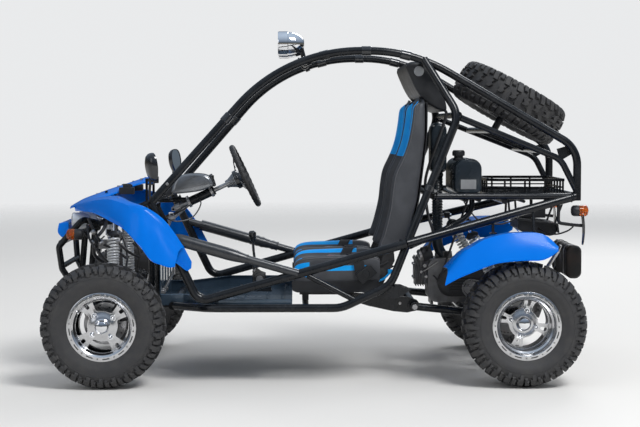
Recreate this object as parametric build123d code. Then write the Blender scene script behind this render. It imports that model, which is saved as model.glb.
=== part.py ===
from build123d import *
import math
import os

# A two-seat tube-frame dune buggy. Millimetres, +X forward, +Y the car's left, +Z up.
# The origin is on the ground under the middle of the car's box.

# Wheels
WHEELBASE = 1780
FRONT_AXLE_X = 913
REAR_AXLE_X = FRONT_AXLE_X - WHEELBASE
TYRE_R = 264
FRONT_TYRE_W = 178
REAR_TYRE_W = 250
FRONT_WHEEL_Y = 601
REAR_WHEEL_Y = 565
RIM_SEAT_R = 127
RIM_FLANGE_R = 145
RIM_WALL = 6
DISC = 10
HUB_R = 34
LUG_CIRCLE_R = 55
LUGS = 18
GROOVE_R = 240
SHOULDER_R = 244
SHOULDER_W = 22
WALL_R = 200
FRONT_RIM_W = 140
REAR_RIM_W = 203

# Tubes
MAIN_R = 17.5
BRACE_R = 19
LIGHT_R = 14
PAD_R = 27
GAP = 0.3

# Lamps
ROOF_LAMP_Y = 150
ROOF_LAMP_Z = 1472
HEADLAMP_Y = 122
HEADLAMP_Z = 676
REAR_LAMP_Y = 370
REAR_LAMP_Z = 733

# Side frame, left side; the right side is its mirror image
A_FOOT = (715, 560, 775)
ROOF_FRONT = (138, 370, 1428)
ROOF_REAR = (-405, 370, 1428)
ROOF_JOINT_X = -200
ROOF_BEND = 690
STAY_TOP = (-1126, 370, 1007)
STAY_FOOT = (-1126, 370, 778)
STAY_BEND = 130
PILLAR_TOP = (-455, 372, 1392)
PILLAR_KNEE = (-596, 478, 1150)
PILLAR_FOOT = (-300, 570, 428)
SILL_REAR = (-91, 570, 331)
SILL_FRONT = (470, 570, 331)
SILL_END = (640, 352, 318)
BRACE_CORNER = (515, 562, 357)
BRACE_PILLAR = (-368, 570, 605)
BRACE_REAR = (-1117, 370, 796)
KNEE_FRONT = (646, 562, 635)
KNEE_REAR = (92, 570, 478)
RAIL_FRONT = (-486, 503, 802)
RAIL_REAR = (-1126, 370, 796)
CRADLE_TOP = (-604, 470, 1138)
CRADLE_MID = (-1054, 370, 958)
CRADLE_FOOT = (-1123, 370, 822)

# Luggage basket
BASKET_X = (-1090, -758)
BASKET_HALF_W = 225
BASKET_FLOOR_Z = 797
BASKET_RIM_Z = 863

# Cross bars under the fuel tank and the basket
TANK_BAR_Z = 790
BASKET_BAR_Z = 779

# Spare wheel
SPARE_CENTRE = (-877, 0, 1208)
SPARE_TILT = 29
SPARE_HUB_LOW = 12

# Front frame
NOSE_HALF_W = 165
NOSE_LOW_Z = 300
NOSE_FRONT_X = 1075
NOSE_REAR_X = 750
NOSE_TOP_FRONT = (1045, NOSE_HALF_W, 640)
SHOCK_BAR_X = 906
SHOCK_BAR_HALF = 265
HOOD_POST_X = 950

# Front suspension and steering
KINGPIN_Y = 500
KINGPIN_R = 16
KINGPIN_LOW = 198
KINGPIN_HIGH = 330
STEER_ARM = 95
STEER_ARM_Z = 240
RACK_X = FRONT_AXLE_X - STEER_ARM
RACK_Z = 264
RACK_R = 11
HOUSING_R = 22
WHEEL_CENTRE = (326, 245, 883)
COLUMN_TILT = 25
COLUMN_LENGTH = 350
PINION = (RACK_X, 20, RACK_Z + HOUSING_R + 4)
STEER_WHEEL_R = 150
STEER_GRIP_R = 13

# Rear suspension
AXLE_R = 15
ARM_Y = 330
ARM_PIVOT = (-420, ARM_Y, 310)
ARM_TIE_Z = (ARM_PIVOT[2] + TYRE_R) / 2
CARRIER_R = 45
SHOCK_SPRING_R = 28
SPRING_TURNS = 7
REAR_SHOCK_TOP = (-640, 455, 668)
REAR_SHOCK_FOOT = (-820, 352, 330)
FRONT_SHOCK_TOP = (SHOCK_BAR_X, 255, 690)
FRONT_SHOCK_FOOT = (SHOCK_BAR_X, 374, 232)

# Engine group, boxes as (low, high) pairs along X, Y and Z
CRANKCASE = ((-760, -500), (-70, 90), (ARM_TIE_Z + LIGHT_R, 500))
BELT_CASE = ((-780, -540), (90, 138), (331, 460))
BELT_RIBS_Z = (356, 381, 406)
BLOWER = (-590, 430)
BLOWER_R = 75
HEAD = ((-520, -446), (-45, 65), (385, 495))
HEAD_FIN_Y = (-60, 80)
HEAD_FIN_Z = (372, 508)
FINS = 6
FIN = 4
FIN_PITCH = 11
MUFFLER = ((-1160, -1088), (-60, 330), (430, 578))
PIPE = [(-740, 10, 420), (-840, 10, 395), (-1000, 10, 340), (-1110, 60, 470)]
TANK = ((-718, -592), (-70, 330), (803, 960))
FILLER = (-620, 250)
AIR_BOX = ((-588, -512), (-70, 70), (890, 1120))
AIR_HOSE = [(-550, 0, 900), (-550, 0, 560), (-580, 0, 500)]

# Cabin
FLOOR_Z = 313
SHEET = 4
TUB_HEIGHT = 85
TUB_HALF_W = 548
TUB_REAR = -80
TUB_CORNER = 430
TUB_FRONT = 700
TOE_HALF_W = 318
TOE_BOARD_Z = 500
FLOOR_RIBS_X = (160, 330, 400, 470, 540)
SEAT_Y = 245
SEAT_HALF_W = 214
SEAT_BAR_FRONT = (60, 570, 331)
SEAT_BAR_REAR = (-140, 570, 354)
BOLSTER_W = 58

NODES = {}


def keep(name, *shapes):
    """Store the solids of one node."""
    solids = []
    for shape in shapes:
        solids.extend(shape.solids())
    NODES[name] = solids


def mirrored(shape):
    return mirror(shape, about=Plane.XZ)


def both(shape):
    return [shape, mirrored(shape)]


def straight(start, end, radius):
    """Round bar between two points."""
    along = end - start
    place = Plane(origin=start, z_dir=along.normalized())
    return place * Cylinder(radius, along.length, align=(Align.CENTER, Align.CENTER, Align.MIN))


def tube(points, radius, bends=()):
    """Round bar along straight runs; each inner corner is bent to its radius."""
    places = [Vector(*p) for p in points]
    start = places[0]
    shape = Part()
    for corner, after, bend in zip(places[1:-1], places[2:], bends):
        came = (corner - start).normalized()
        goes = (after - corner).normalized()
        turn = math.radians(came.get_angle(goes))
        reach = bend * math.tan(turn / 2)
        middle = (goes - came).normalized()
        centre = corner + middle * (bend / math.cos(turn / 2))
        entry = corner - came * reach
        shape += straight(start, entry, radius)
        axis = Axis(centre, came.cross(goes))
        shape += revolve(Plane(origin=entry, z_dir=came) * Circle(radius), axis, math.degrees(turn))
        start = corner + goes * reach
    return shape + straight(start, places[-1], radius)


def cope(shape, *tools):
    """Cut a tube's ends to the pieces it meets, and keep the longest run."""
    for tool in tools:
        shape = shape - tool
    return Part() + max(shape.solids(), key=lambda s: s.volume)


def cross(point, radius, half=None):
    """Straight tube across the car through a point and its mirror image."""
    y = point[1] if half is None else half
    return tube([(point[0], -y, point[2]), (point[0], y, point[2])], radius)


def plate_xz(outline, y_low, y_high):
    """Side outline, a list of (x, z), extruded from y_low to y_high."""
    face = Plane.XZ * make_face(Polyline(*outline, close=True))
    return Pos(0, y_high, 0) * extrude(face, y_high - y_low)


def plate_xy(outline, z_low, z_high):
    """Plan outline, a list of (x, y), extruded from z_low to z_high."""
    face = make_face(Polyline(*outline, close=True))
    return Pos(0, 0, z_low) * extrude(face, z_high - z_low)


def block(x, y, z):
    """Box from three (low, high) pairs."""
    size = Box(x[1] - x[0], y[1] - y[0], z[1] - z[0])
    return Pos(sum(x) / 2, sum(y) / 2, sum(z) / 2) * size


def bar_y(x, z, radius, y_low, y_high):
    return tube([(x, y_low, z), (x, y_high, z)], radius)


def spin(profile, axis_y):
    """Revolve a (y, r) outline about the line along Y through the origin, moved to axis_y."""
    face = make_face(Plane.YZ * Polyline(*profile, close=True))
    return Pos(0, axis_y, 0) * revolve(face, Axis.Y)


def main_frame():
    rail = tube([A_FOOT, ROOF_FRONT, (ROOF_JOINT_X, ROOF_REAR[1], ROOF_REAR[2])], MAIN_R, [ROOF_BEND])
    stay = tube(
        [(ROOF_JOINT_X, ROOF_REAR[1], ROOF_REAR[2]), ROOF_REAR, STAY_TOP, STAY_FOOT],
        MAIN_R,
        [ROOF_BEND, STAY_BEND],
    )
    hoop = tube(
        [PILLAR_TOP, PILLAR_KNEE, PILLAR_FOOT, SILL_REAR, SILL_FRONT, SILL_END],
        MAIN_R,
        [110, 100, 150, 120],
    )
    hoop = cope(hoop, stay)
    upright = tube([A_FOOT, BRACE_CORNER, BRACE_PILLAR], BRACE_R, [60])
    upright = cope(upright, rail, hoop)
    edge = cope(tube([RAIL_FRONT, RAIL_REAR], LIGHT_R), hoop, stay)
    rear_brace = cope(tube([BRACE_PILLAR, BRACE_REAR], BRACE_R), hoop, stay, upright, edge)
    knee = tube([KNEE_FRONT, KNEE_REAR], LIGHT_R)
    pad_low = Vector(*KNEE_FRONT) + (Vector(*KNEE_REAR) - Vector(*KNEE_FRONT)) * 0.07
    pad_high = Vector(*KNEE_FRONT) + (Vector(*KNEE_REAR) - Vector(*KNEE_FRONT)) * 0.68
    knee = cope(knee + tube([pad_low, pad_high], PAD_R), upright)
    keep("roof_rails", *both(rail))
    keep("rear_stays", *both(stay))
    keep("side_hoops", *both(hoop))
    keep("side_braces", *both(upright))
    keep("rear_braces", *both(rear_brace))
    keep("knee_bars", *both(knee))
    return rail, stay, hoop, upright, rear_brace, edge


rail, stay, hoop, upright, rear_brace, edge = main_frame()
side_frame = [rail, stay, hoop, upright, rear_brace]
both_sides = side_frame + [mirrored(s) for s in side_frame]


def cross_members():
    roof_front = (60, 370, 1388)
    bars = [
        cross(A_FOOT, LIGHT_R),
        cross(roof_front, LIGHT_R),
        cross((-455, 370, 1390), LIGHT_R),
        cross(PILLAR_KNEE, LIGHT_R),
        cross(RAIL_FRONT, LIGHT_R),
        cross(RAIL_REAR, LIGHT_R),
        cross(SEAT_BAR_FRONT, LIGHT_R),
        cross(SEAT_BAR_REAR, LIGHT_R),
        cross(SILL_END, MAIN_R, 372),
    ]
    return [cope(bar, *both_sides, edge, mirrored(edge)) for bar in bars]


bars = cross_members()
keep("cross_bars", *bars)


def rear_rails():
    """Upper rails behind the seats, their cross bars and the tail posts."""
    frame = edge + mirrored(edge)
    along = Vector(*RAIL_REAR) - Vector(*RAIL_FRONT)
    for x, z in ((-625, TANK_BAR_Z), (-685, TANK_BAR_Z), (-800, BASKET_BAR_Z), (-1060, BASKET_BAR_Z)):
        share = (x - RAIL_FRONT[0]) / along.X
        frame += cross((x, RAIL_FRONT[1] + along.Y * share + 3, z), LIGHT_R - 1)
    return cope(frame, *both_sides)


rails_rear = rear_rails()
keep("rear_rails", rails_rear)


def spare_cradle():
    """Two bent tubes under the spare wheel, joined by cross bars."""
    side = tube([CRADLE_TOP, CRADLE_MID, CRADLE_FOOT], LIGHT_R, [90])
    side = cope(side, hoop, stay, bars[3])
    frame = side + mirrored(side)
    along = Vector(*CRADLE_MID) - Vector(*CRADLE_TOP)
    ends = []
    for share in (0.3, 0.78):
        place = Vector(*CRADLE_TOP) + along * share
        frame += cross((place.X, place.Y + 4, place.Z), LIGHT_R - 1)
        ends.append((place.X, 0, place.Z))
    frame += tube(ends, LIGHT_R - 2)
    tilt = math.radians(SPARE_TILT)
    up = Vector(-math.sin(tilt), 0, math.cos(tilt))
    centre = Vector(*SPARE_CENTRE)
    frame += tube([centre - up * 165, centre + up * (SPARE_HUB_LOW - GAP)], 16)
    return frame


cradle = spare_cradle()
keep("spare_cradle", cradle)


def front_frame():
    """Narrow frame ahead of the floor that carries the front arms, dampers and nose."""
    low_rear = (SILL_END[0] - 30, NOSE_HALF_W, NOSE_LOW_Z)
    low_front = (NOSE_FRONT_X, NOSE_HALF_W, NOSE_LOW_Z)
    slope = (A_FOOT[2] - NOSE_TOP_FRONT[2]) / (NOSE_TOP_FRONT[0] - A_FOOT[0])
    past = 50
    top_rear = (A_FOOT[0] - past, NOSE_HALF_W, A_FOOT[2] + past * slope)
    foot_rear = (NOSE_REAR_X, NOSE_HALF_W, NOSE_LOW_Z)
    head_rear = (NOSE_REAR_X, NOSE_HALF_W, A_FOOT[2] - (NOSE_REAR_X - A_FOOT[0]) * slope)
    side = tube([low_rear, low_front, NOSE_TOP_FRONT, top_rear], LIGHT_R, [30, 60])
    side += tube([foot_rear, head_rear], LIGHT_R - 1)
    frame = side + mirrored(side)
    frame += cross((NOSE_FRONT_X - 20, NOSE_HALF_W, NOSE_LOW_Z), LIGHT_R - 1)
    frame += cross((NOSE_REAR_X, NOSE_HALF_W, 600), LIGHT_R - 2)
    frame += cross((SHOCK_BAR_X, SHOCK_BAR_HALF, 698), LIGHT_R)
    for x_low, x_high in ((790, 845), (985, 1036)):
        tab = block((x_low, x_high), (NOSE_HALF_W - 5, NOSE_HALF_W + 5), (226, 386))
        frame += tab + mirrored(tab)
    for x, z_low, z_high in ((HOOD_POST_X, 679, 814), (NOSE_REAR_X + 20, 755, 869)):
        post = tube([(x, NOSE_HALF_W, z_low), (x, NOSE_HALF_W, z_high)], 6)
        frame += post + mirrored(post)
    frame -= bar_y(RACK_X, RACK_Z, RACK_R + 6, -300, 300)
    return cope(frame, *bars)


nose_frame = front_frame()
keep("front_frame", nose_frame)


def floor_pan():
    """Sheet tub with low side walls and a toe board."""
    toe_x = TUB_CORNER + 170
    outline = [(TUB_REAR, TUB_HALF_W), (TUB_CORNER, TUB_HALF_W), (toe_x, TOE_HALF_W), (TUB_FRONT, TOE_HALF_W)]
    outline += [(x, -y) for x, y in reversed(outline)]
    inner = offset(make_face(Polyline(*outline, close=True)), -SHEET, kind=Kind.INTERSECTION)
    tub = plate_xy(outline, FLOOR_Z, FLOOR_Z + TUB_HEIGHT)
    tub -= Pos(0, 0, FLOOR_Z + SHEET) * extrude(inner, TUB_HEIGHT)
    tub += block((TUB_FRONT - SHEET, TUB_FRONT), (-TOE_HALF_W, TOE_HALF_W), (FLOOR_Z, TOE_BOARD_Z))
    for x in FLOOR_RIBS_X:
        tub += block((x - 6, x + 6), (-TOE_HALF_W, TOE_HALF_W), (FLOOR_Z, FLOOR_Z + SHEET + 3))
    tub -= block((TUB_REAR - 20, 140), (-480, 480), (344, TOE_BOARD_Z))
    return cope(tub, *both_sides, *bars, nose_frame)


keep("floor_pan", floor_pan())


def lug_band(y_low, y_high, shift):
    """Band of tread blocks from the groove up to the tips, turned by a share of the pitch."""
    pitch = 2 * math.pi / LUGS
    outline = []
    for k in range(LUGS):
        for radius, share in ((GROOVE_R, 0), (TYRE_R, 0.06), (TYRE_R, 0.50), (GROOVE_R, 0.56)):
            turn = pitch * (k + shift + share)
            outline.append((radius * math.cos(turn), radius * math.sin(turn)))
    return plate_xz(outline, y_low, y_high)


def tyre(width, rim_width, axis_y):
    """Tyre with chunky staggered lugs that run down its shoulders."""
    half = width / 2
    seat = rim_width / 2
    shoulder = half - SHOULDER_W
    right = [(half - 6, SHOULDER_R), (half, WALL_R), (seat, RIM_FLANGE_R + 2), (seat, RIM_SEAT_R)]
    left = [(-y, r) for y, r in reversed(right)]
    body = spin(left + right, 0)
    lugs = lug_band(-half + 2, -8, 0) + lug_band(8, half - 2, 0.5)
    side = [(shoulder, TYRE_R + 1), (half, SHOULDER_R - 4), (half, SHOULDER_R - 20)]
    lugs = lugs & spin([(-y, r) for y, r in reversed(side)] + side, 0)
    body += lugs
    return Pos(0, axis_y, 0) * (Part() + max(body.solids(), key=lambda s: s.volume))


def window(low, high, half_turn, y_low, y_high):
    """Cutter between two radii and two angles, centred on +X."""
    steps = (-1, -0.5, 0, 0.5, 1)
    outer = [(high * math.cos(half_turn * k), high * math.sin(half_turn * k)) for k in steps]
    inner = [(low * math.cos(half_turn * k), low * math.sin(half_turn * k)) for k in reversed(steps)]
    return plate_xz(outer + inner, y_low, y_high)


def rim(rim_width, face_y, hub_low, hub_high, bore, axis_y):
    """Rim with a dished face, four kidney windows, four wheel nuts and a hub, outer face towards +Y."""
    seat = rim_width / 2
    outer = seat + RIM_WALL
    well = RIM_SEAT_R - 18
    profile = [
        (-outer, RIM_FLANGE_R), (-seat, RIM_FLANGE_R), (-seat, RIM_SEAT_R), (0, well), (seat, RIM_SEAT_R),
        (seat, RIM_FLANGE_R), (outer, RIM_FLANGE_R), (outer, RIM_SEAT_R), (face_y, well - RIM_WALL),
        (face_y, 1), (face_y - DISC, 1), (face_y - DISC, well - RIM_WALL - 2), (-outer, RIM_SEAT_R - RIM_WALL),
    ]
    body = spin(profile, 0)
    hub = bar_y(0, 0, HUB_R, hub_low, hub_high)
    body += hub
    for quarter in range(4):
        opening = window(62, well - 8, math.radians(30), face_y - 40, face_y + 10)
        body -= Rot(0, 45 + 90 * quarter, 0) * opening
        body += Rot(0, 90 * quarter, 0) * bar_y(LUG_CIRCLE_R, 0, 9, face_y - 2, face_y + 12)
    body -= bar_y(0, 0, bore, hub_low - 1, hub_high + 1)
    return Pos(0, axis_y, 0) * body


def front_wheel():
    centre = Pos(FRONT_AXLE_X, 0, TYRE_R)
    wheel_tyre = centre * tyre(FRONT_TYRE_W, FRONT_RIM_W, FRONT_WHEEL_Y)
    wheel_rim = centre * rim(FRONT_RIM_W, 38, -38, 46, 12 + GAP, FRONT_WHEEL_Y)
    return wheel_tyre, wheel_rim


front_tyre, front_rim = front_wheel()
keep("tyre_front_left", front_tyre)
keep("tyre_front_right", mirrored(front_tyre))
keep("rim_front_left", front_rim)
keep("rim_front_right", mirrored(front_rim))


def rear_wheel():
    centre = Pos(REAR_AXLE_X, 0, TYRE_R)
    wheel_tyre = centre * tyre(REAR_TYRE_W, REAR_RIM_W, REAR_WHEEL_Y)
    wheel_rim = centre * rim(REAR_RIM_W, -2, -60, 10, AXLE_R, REAR_WHEEL_Y)
    return wheel_tyre, wheel_rim


rear_tyre, rear_rim = rear_wheel()
keep("tyres_rear", *both(rear_tyre))
keep("rims_rear", *both(rear_rim))


def spare_wheel():
    """Spare wheel lying outer face up between the slanted stays."""
    place = Pos(*SPARE_CENTRE) * Rot(0, -SPARE_TILT, 0) * Rot(90, 0, 0)
    return place * tyre(FRONT_TYRE_W, FRONT_RIM_W, 0), place * rim(FRONT_RIM_W, 38, SPARE_HUB_LOW, 42, 12, 0)


spare_tyre, spare_rim = spare_wheel()
keep("spare_tyre", spare_tyre)
keep("spare_rim", spare_rim)


def knuckle():
    """Kingpin barrel with the wheel spindle and the steering arm."""
    pin = tube([(FRONT_AXLE_X, KINGPIN_Y, KINGPIN_LOW), (FRONT_AXLE_X, KINGPIN_Y, KINGPIN_HIGH)], KINGPIN_R)
    spindle = bar_y(FRONT_AXLE_X, TYRE_R, 12, KINGPIN_Y, FRONT_WHEEL_Y + 38)
    shoulder = bar_y(FRONT_AXLE_X, TYRE_R, 24, KINGPIN_Y, FRONT_WHEEL_Y - 38 - 5)
    arm = tube(
        [(FRONT_AXLE_X, KINGPIN_Y, STEER_ARM_Z), (RACK_X, KINGPIN_Y - 10, STEER_ARM_Z)],
        7,
    )
    eye = tube([(RACK_X, KINGPIN_Y - 10, STEER_ARM_Z - 9), (RACK_X, KINGPIN_Y - 10, STEER_ARM_Z + 9)], 13)
    return pin + spindle + shoulder + arm + eye


left_knuckle = knuckle()
keep("knuckle_left", left_knuckle)
keep("knuckle_right", mirrored(left_knuckle))


def control_arms():
    """Upper and lower wishbones; each ends in a ball-joint boss on the kingpin's line."""
    # columns: half spread at the frame, frame pivot y, frame pivot z, boss z
    rows = [(110, 183, 231, KINGPIN_LOW - GAP - 12), (85, 183, 372, KINGPIN_HIGH + GAP + 12)]
    arms = []
    for spread, pivot_y, pivot_z, boss_z in rows:
        arm = tube([(FRONT_AXLE_X, KINGPIN_Y, boss_z - 12), (FRONT_AXLE_X, KINGPIN_Y, boss_z + 12)], 17)
        boss = (FRONT_AXLE_X, KINGPIN_Y, boss_z + math.copysign(4, boss_z - TYRE_R))
        for side in (-1, 1):
            pivot = (FRONT_AXLE_X + side * spread, pivot_y, pivot_z)
            arm += tube([pivot, boss], 11)
            arm += tube([(pivot[0] - 22, pivot_y, pivot_z), (pivot[0] + 22, pivot_y, pivot_z)], 14)
        if pivot_z < 300:
            arm += tube([(FRONT_AXLE_X - 50, 370, 206), (FRONT_AXLE_X + 50, 370, 206)], 9)
        arms.append(Part() + arm)
    return arms


arms = control_arms()
trimmed_arms = []
for arm in arms:
    trimmed_arms.append(cope(arm, nose_frame))
keep("control_arms", *trimmed_arms, *[mirrored(a) for a in trimmed_arms])


def damper(top, foot, spring_r, share_low=0.2, share_high=0.86):
    """Damper with a spring sleeve between two eyes."""
    high = Vector(*top)
    low = Vector(*foot)
    along = high - low
    length = along.length
    pitch = length * (share_high - share_low) / SPRING_TURNS
    outline = [(0, 0), (15, 0), (15, length * share_low)]
    for k in range(SPRING_TURNS):
        base = length * share_low + pitch * k
        outline.extend([(spring_r - 6, base), (spring_r, base + pitch * 0.3), (spring_r, base + pitch * 0.7)])
    outline.extend([(spring_r - 6, length * share_high), (9, length * share_high), (9, length), (0, length)])
    place = Plane(origin=low, z_dir=along.normalized())
    body = Part() + place * revolve(make_face(Plane.XZ * Polyline(*outline, close=True)), Axis.Z)
    for place in (low, high):
        body += tube([(place.X - 14, place.Y, place.Z), (place.X + 14, place.Y, place.Z)], 15)
    return body


front_damper = damper(FRONT_SHOCK_TOP, FRONT_SHOCK_FOOT, 29, 0.36, 0.84)
front_damper = cope(front_damper, nose_frame, *trimmed_arms)
rear_damper = damper(REAR_SHOCK_TOP, REAR_SHOCK_FOOT, SHOCK_SPRING_R, 0.22, 0.88)


def swing_arm():
    """Rear arm frame that carries the axle's bearings and the dampers' feet."""
    side = tube([ARM_PIVOT, (REAR_AXLE_X, ARM_Y, TYRE_R)], MAIN_R)
    side += bar_y(REAR_AXLE_X, TYRE_R, CARRIER_R, ARM_Y - 28, ARM_Y + 28)
    lug_x = REAR_SHOCK_FOOT[0]
    side += tube([(lug_x, ARM_Y + 5, TYRE_R + 11), (lug_x, ARM_Y + 22, REAR_SHOCK_FOOT[2] - 5)], 12)
    frame = side + mirrored(side)
    frame += cross((-640, ARM_Y, ARM_TIE_Z), LIGHT_R)
    frame += cross(ARM_PIVOT, MAIN_R, ARM_Y + 20)
    frame -= bar_y(REAR_AXLE_X, TYRE_R, AXLE_R + GAP, -500, 500)
    return frame


arm_frame = swing_arm()
rear_damper = cope(rear_damper, rear_brace, arm_frame)
keep("dampers_front", *both(front_damper))
keep("dampers_rear", *both(rear_damper))
keep("swing_arm", arm_frame)


def pivot_brackets():
    """Plates from the rear floor bar down to the swing arm's pivot tube."""
    outline = [(-118, 365), (-118, 335), (-400, 268), (-450, 285), (-450, 335), (-400, 352), (-165, 365)]
    plate = plate_xz(outline, ARM_Y - 60, ARM_Y - 52)
    return cope(plate, *both_sides, *bars, arm_frame)


bracket = pivot_brackets()
keep("pivot_brackets", *both(bracket))


def rear_axle():
    """Live axle with its sprocket and brake disc."""
    shaft = bar_y(REAR_AXLE_X, TYRE_R, AXLE_R, -REAR_WHEEL_Y - 10, REAR_WHEEL_Y + 10)
    shaft += bar_y(REAR_AXLE_X, TYRE_R, 100, 150, 156)
    shaft += bar_y(REAR_AXLE_X, TYRE_R, 32, 140, 166)
    shaft += bar_y(REAR_AXLE_X, TYRE_R, 95, -204, -200)
    shaft += bar_y(REAR_AXLE_X, TYRE_R, 32, -214, -190)
    for sign in (-1, 1):
        low, high = sorted((sign * (ARM_Y + 60), sign * (REAR_WHEEL_Y - 60)))
        shaft += bar_y(REAR_AXLE_X, TYRE_R, 28, low, high)
    return shaft


keep("rear_axle", rear_axle())


def engine():
    """Single-cylinder engine: crankcase, ribbed belt case, fan shroud and finned head."""
    case = fillet(block(*CRANKCASE).edges().filter_by(Axis.Y), 40)
    belt = fillet(block(*BELT_CASE).edges().filter_by(Axis.Y), 60)
    belt_face = BELT_CASE[1][1]
    for z in BELT_RIBS_Z:
        belt += block((-700, -600), (belt_face - 2, belt_face + 6), (z - FIN, z + FIN))
    side = CRANKCASE[1][0]
    blower = bar_y(*BLOWER, BLOWER_R, side - 80, side)
    blower -= bar_y(*BLOWER, BLOWER_R - 20, side - 81, side - 62)
    blower += bar_y(*BLOWER, 28, side - 70, side - 60)
    head = block(*HEAD)
    for k in range(FINS):
        x = HEAD[0][0] + 16 + FIN_PITCH * k
        head += block((x, x + FIN), HEAD_FIN_Y, HEAD_FIN_Z)
    return case + belt + blower + head


def rear_group():
    """Engine, exhaust, fuel tank and air box."""
    motor = engine()
    keep("engine", motor)
    can = fillet(block(*MUFFLER).edges().filter_by(Axis.Y), 30)
    keep("exhaust", cope(can + tube(PIPE, 17, [60, 60]), motor, arm_frame))
    tank = fillet(block(*TANK).edges().filter_by(Axis.Y), 30)
    tank += tube([(*FILLER, TANK[2][1] - 20), (*FILLER, TANK[2][1] + 36)], 19)
    keep("fuel_tank", cope(tank, rails_rear, *bars))
    filter_box = fillet(block(*AIR_BOX).edges().filter_by(Axis.Y), 30)
    keep("air_box", cope(filter_box + tube(AIR_HOSE, 26, [60]), motor, rails_rear, *bars))


rear_group()


def rear_panel():
    """Moulded panel between the upper pillars, above the seat backs."""
    outline = [(-383, 1376), (-436, 1243), (-530, 1172), (-564, 1166), (-545, 1235), (-462, 1384)]
    panel = fillet(plate_xz(outline, -326, 326).edges().filter_by(Axis.Y), 12)
    keep("rear_panel", cope(panel, *both_sides, *bars))


rear_panel()

# Seat side outlines, (x, z)
SEAT_BACK = [(-282, 389), (-380, 599), (-397, 674), (-426, 784), (-442, 925), (-457, 1041), (-460, 1205)]
SEAT_BOLSTER = [(-406, 1205), (-378, 1037), (-353, 968), (-317, 895), (-297, 745), (-262, 603), (-120, 548)]
SEAT_INNER = [(-430, 1230), (-412, 1037), (-395, 925), (-372, 784), (-345, 674), (-310, 590), (-240, 520)]
SEAT_NOSE = [(90, 540), (113, 515), (113, 389)]


def seat():
    """Padded seat in a thin shell."""
    pad = plate_xz(SEAT_BACK + SEAT_BOLSTER + SEAT_NOSE, SEAT_Y - SEAT_HALF_W, SEAT_Y + SEAT_HALF_W)
    hollow = SEAT_INNER + [(130, 505), (130, 620), (-150, 700), (-200, 1230)]
    inner = SEAT_HALF_W - BOLSTER_W
    pad -= plate_xz(hollow, SEAT_Y - inner, SEAT_Y + inner)
    pad = fillet(pad.faces().sort_by(Axis.Y)[0].edges() + pad.faces().sort_by(Axis.Y)[-1].edges(), 14)
    shell_line = [
        (121, 381), (121, 470), (-190, 484), (-330, 650), (-380, 790), (-415, 1035), (-432, 1209),
        (-468, 1209), (-465, 1041), (-450, 925), (-434, 784), (-405, 672), (-388, 597), (-290, 381),
    ]
    half = SEAT_HALF_W + GAP + 8
    shell = plate_xz(shell_line, SEAT_Y - half, SEAT_Y + half)
    grown = plate_xz(SEAT_BACK + SEAT_BOLSTER + SEAT_NOSE, SEAT_Y - half + 8, SEAT_Y + half - 8)
    space = plate_xz(hollow, SEAT_Y - half + 8, SEAT_Y + half - 8)
    shell = cope(shell - grown - space)
    for y in (SEAT_Y - 130, SEAT_Y + 130):
        shell += block((-152, 85), (y - 12, y + 12), (344, 381.5))
    return pad, cope(shell, *both_sides, *bars)


seat_pad, seat_shell = seat()
keep("seat_pads", *both(seat_pad))
keep("seat_shells", *both(seat_shell))


def steering():
    """Steering wheel on its column, the lower shaft, the rack and the column's bracket."""
    tilt = math.radians(COLUMN_TILT)
    down = Vector(math.cos(tilt), 0, -math.sin(tilt))
    centre = Vector(*WHEEL_CENTRE)
    hub = centre + down * 38
    joint = centre + down * COLUMN_LENGTH
    plane = Plane(origin=centre, x_dir=(0, 1, 0), z_dir=down)
    ring_r = STEER_WHEEL_R - STEER_GRIP_R
    wheel = tube([hub - down * 14, hub + down * 10], 42) + tube([hub, joint], 10)
    wheel += tube([joint - down * 30, joint - down * 2], 17)
    for angle in (90, 210, 330):
        turn = math.radians(angle)
        out = plane.x_dir * math.cos(turn) + plane.y_dir * math.sin(turn)
        wheel += tube([hub + out * 30, centre + out * (ring_r + 3)], 7)
    across = Plane(origin=centre, x_dir=(0, 1, 0), z_dir=plane.y_dir)
    for start in (30, 150, 270):
        grip = across * Pos(ring_r, 0) * RegularPolygon(STEER_GRIP_R, 8)
        grip = grip.rotate(Axis(centre, down), start)
        wheel += revolve(grip, Axis(centre, down), 120)
    keep("steering_wheel", wheel)
    pinion = Vector(*PINION)
    lower = (pinion - joint).normalized()
    shaft = tube([joint + lower * 26, pinion], 9) + tube([joint + lower * 26, joint + lower * 50], 15)
    keep("lower_shaft", shaft)
    jacket_low = centre + down * 150
    jacket_high = centre + down * 280
    jacket = tube([jacket_low, jacket_high], 20)
    dash = Vector(A_FOOT[0], WHEEL_CENTRE[1], A_FOOT[2])
    jacket += tube([jacket_high - down * 30, dash], 11)
    jacket -= tube([jacket_low - down * 10, jacket_high + down * 45], 10 + GAP)
    keep("column_jacket", cope(jacket, *bars))
    housing = bar_y(RACK_X, RACK_Z, HOUSING_R, -NOSE_HALF_W + 20, NOSE_HALF_W - 20)
    rack = bar_y(RACK_X, RACK_Z, RACK_R, -190, 190)
    rack += bar_y(RACK_X, RACK_Z, 7, -KINGPIN_Y + 10, KINGPIN_Y - 10)
    for sign in (-1, 1):
        y = sign * (KINGPIN_Y - 10)
        rack += tube([(RACK_X, y, STEER_ARM_Z + 9 + GAP), (RACK_X, y, RACK_Z + 10)], 14)
    keep("tie_rods", rack)
    return housing, shaft


rack_housing, lower_shaft = steering()

# Instrument pod above the dash bar, side outline (x, z)
POD_SIDE = [(648, 806), (640, 858), (612, 888), (560, 894), (500, 891), (468, 868), (462, 842), (520, 818)]
POD_HALF_W = 74


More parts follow.
